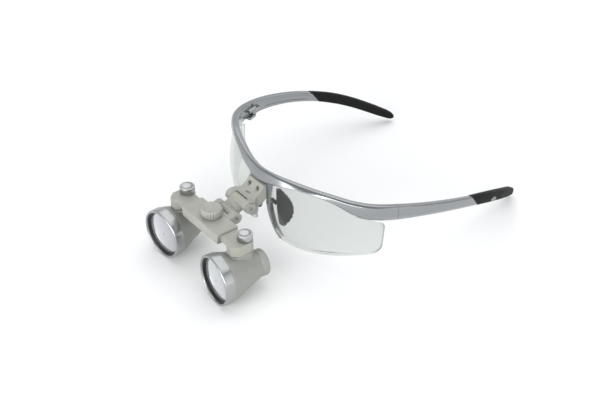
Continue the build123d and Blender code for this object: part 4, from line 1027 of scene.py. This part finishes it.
# Seats in the brow frame: lens grooves, pad lugs, screw bores and screw heads.
seats, lugs = [], []
for sign in (-1, 1):
    seats.append(clear_shell(sign))
    bore = (SCREW_BORE, BORE_LOW), (SCREW_BORE, HEAD_LOW)
    head = (SCREW_HEAD, HEAD_LOW), (SCREW_HEAD, BORE_HIGH)
    seats.append(hinge_post(sign, *bore, *head))
    lug_points, lug_faces = box_block(*PAD_LUG)
    lugs.append((mirror_points(lug_points) if sign < 0 else lug_points, lug_faces))
shape_with(brow, "DIFFERENCE", *seats, *lugs)
shade_like(brow, 24, brow_bar(), *added)


# ---------------------------------------------------------------------
# Oval badges
# ---------------------------------------------------------------------
BADGE_SPOT, BADGE_DROP, BADGE_FACE = 0.645, -1.1, 2.35
BADGE_HALVES = (3.2, 1.4)


def badge(sign):
    """Low oval dome let into the rubber's outer face."""
    spots, runs = run_line(TEMPLE_POINTS, SEAM_RUN, TIP_RUN, 401)
    place = round(BADGE_SPOT * 400)
    run = Vector(runs[place])
    outward = Vector((run.y, -run.x, 0)).normalized()
    rise = outward.cross(run).normalized()
    centre = Vector(spots[place]) + outward * BADGE_FACE + rise * BADGE_DROP
    dome = [(1, -0.4), (1, 0.05), (0.97, 0.13), (0.88, 0.18), (0.6, 0.2), (0.3, 0.2), (0, 0.2)]
    rings = []
    for share, height in dome:
        ring = []
        for k in range(64):
            turn = 2 * math.pi * k / 64
            flat_spot = run * (BADGE_HALVES[0] * share * math.cos(turn))
            flat_spot += rise * (BADGE_HALVES[1] * share * math.sin(turn))
            ring.append(centre + flat_spot + outward * height)
        rings.append(ring)
    points, faces = bridge_rings(rings)
    return (mirror_points(points) if sign < 0 else points), faces


for side, sign in (("left", 1), ("right", -1)):
    piece = make_piece(f"oval_badge_{side}", *badge(sign), BADGE, 40)
    settle(piece, f"temple_{side}", "badge_metal", f"temple_badge_{side}")


# ---------------------------------------------------------------------
# CAD nodes that keep their mesh
# ---------------------------------------------------------------------
def finish_node(name, material, bevel_mm=0.0):
    """Gives a CAD node its material, smooth shading and, if asked, slightly rounded edges."""
    piece = nodes[name]
    piece.data.materials.clear()
    piece.data.materials.append(material)
    for face in piece.data.polygons:
        face.use_smooth = True
    if bevel_mm:
        weld = piece.modifiers.new("weld", "WELD")
        weld.merge_threshold = 0.001 * MM
        merge = piece.modifiers.new("flat", "DECIMATE")
        merge.decimate_type = "DISSOLVE"
        merge.angle_limit = math.radians(1.0)
        round_edges = piece.modifiers.new("round_edges", "BEVEL")
        round_edges.width = bevel_mm * MM
        round_edges.segments = 2
        round_edges.limit_method = "ANGLE"
        round_edges.angle_limit = math.radians(40)
        round_edges.use_clamp_overlap = True
        normals = piece.modifiers.new("normals", "WEIGHTED_NORMAL")
        normals.keep_sharp = False
    else:
        piece.data.set_sharp_from_angle(angle=math.radians(30))


def sided(*names):
    return [f"{name}_{side}" for name in names for side in ("left", "right")]


for name in ("bridge_clamp", "flip_link", "housing_body", "housing_cover", "arm_left", "arm_right"):
    finish_node(name, BRACKET, 0.25)
finish_node("clamp_back_plate", BRACKET)
for name in sided("barrel", "eyepiece_ring"):
    finish_node(name, BARREL)
for name in ("clamp_screws", "flip_pin", "tilt_pin", "tilt_washers", "housing_screws", "nose_pad_pins",
             *sided("hinge_screw")):
    finish_node(name, STEEL)
finish_node("flip_detent_wheel", BRACKET)
finish_node("pinion", BRASS)
for name in sided("pivot_washer"):
    finish_node(name, MILKY)
for name in sided("field_stop"):
    finish_node(name, BLACK)
for name in sided("objective_lens", "eyepiece_lens"):
    finish_node(name, COATED)
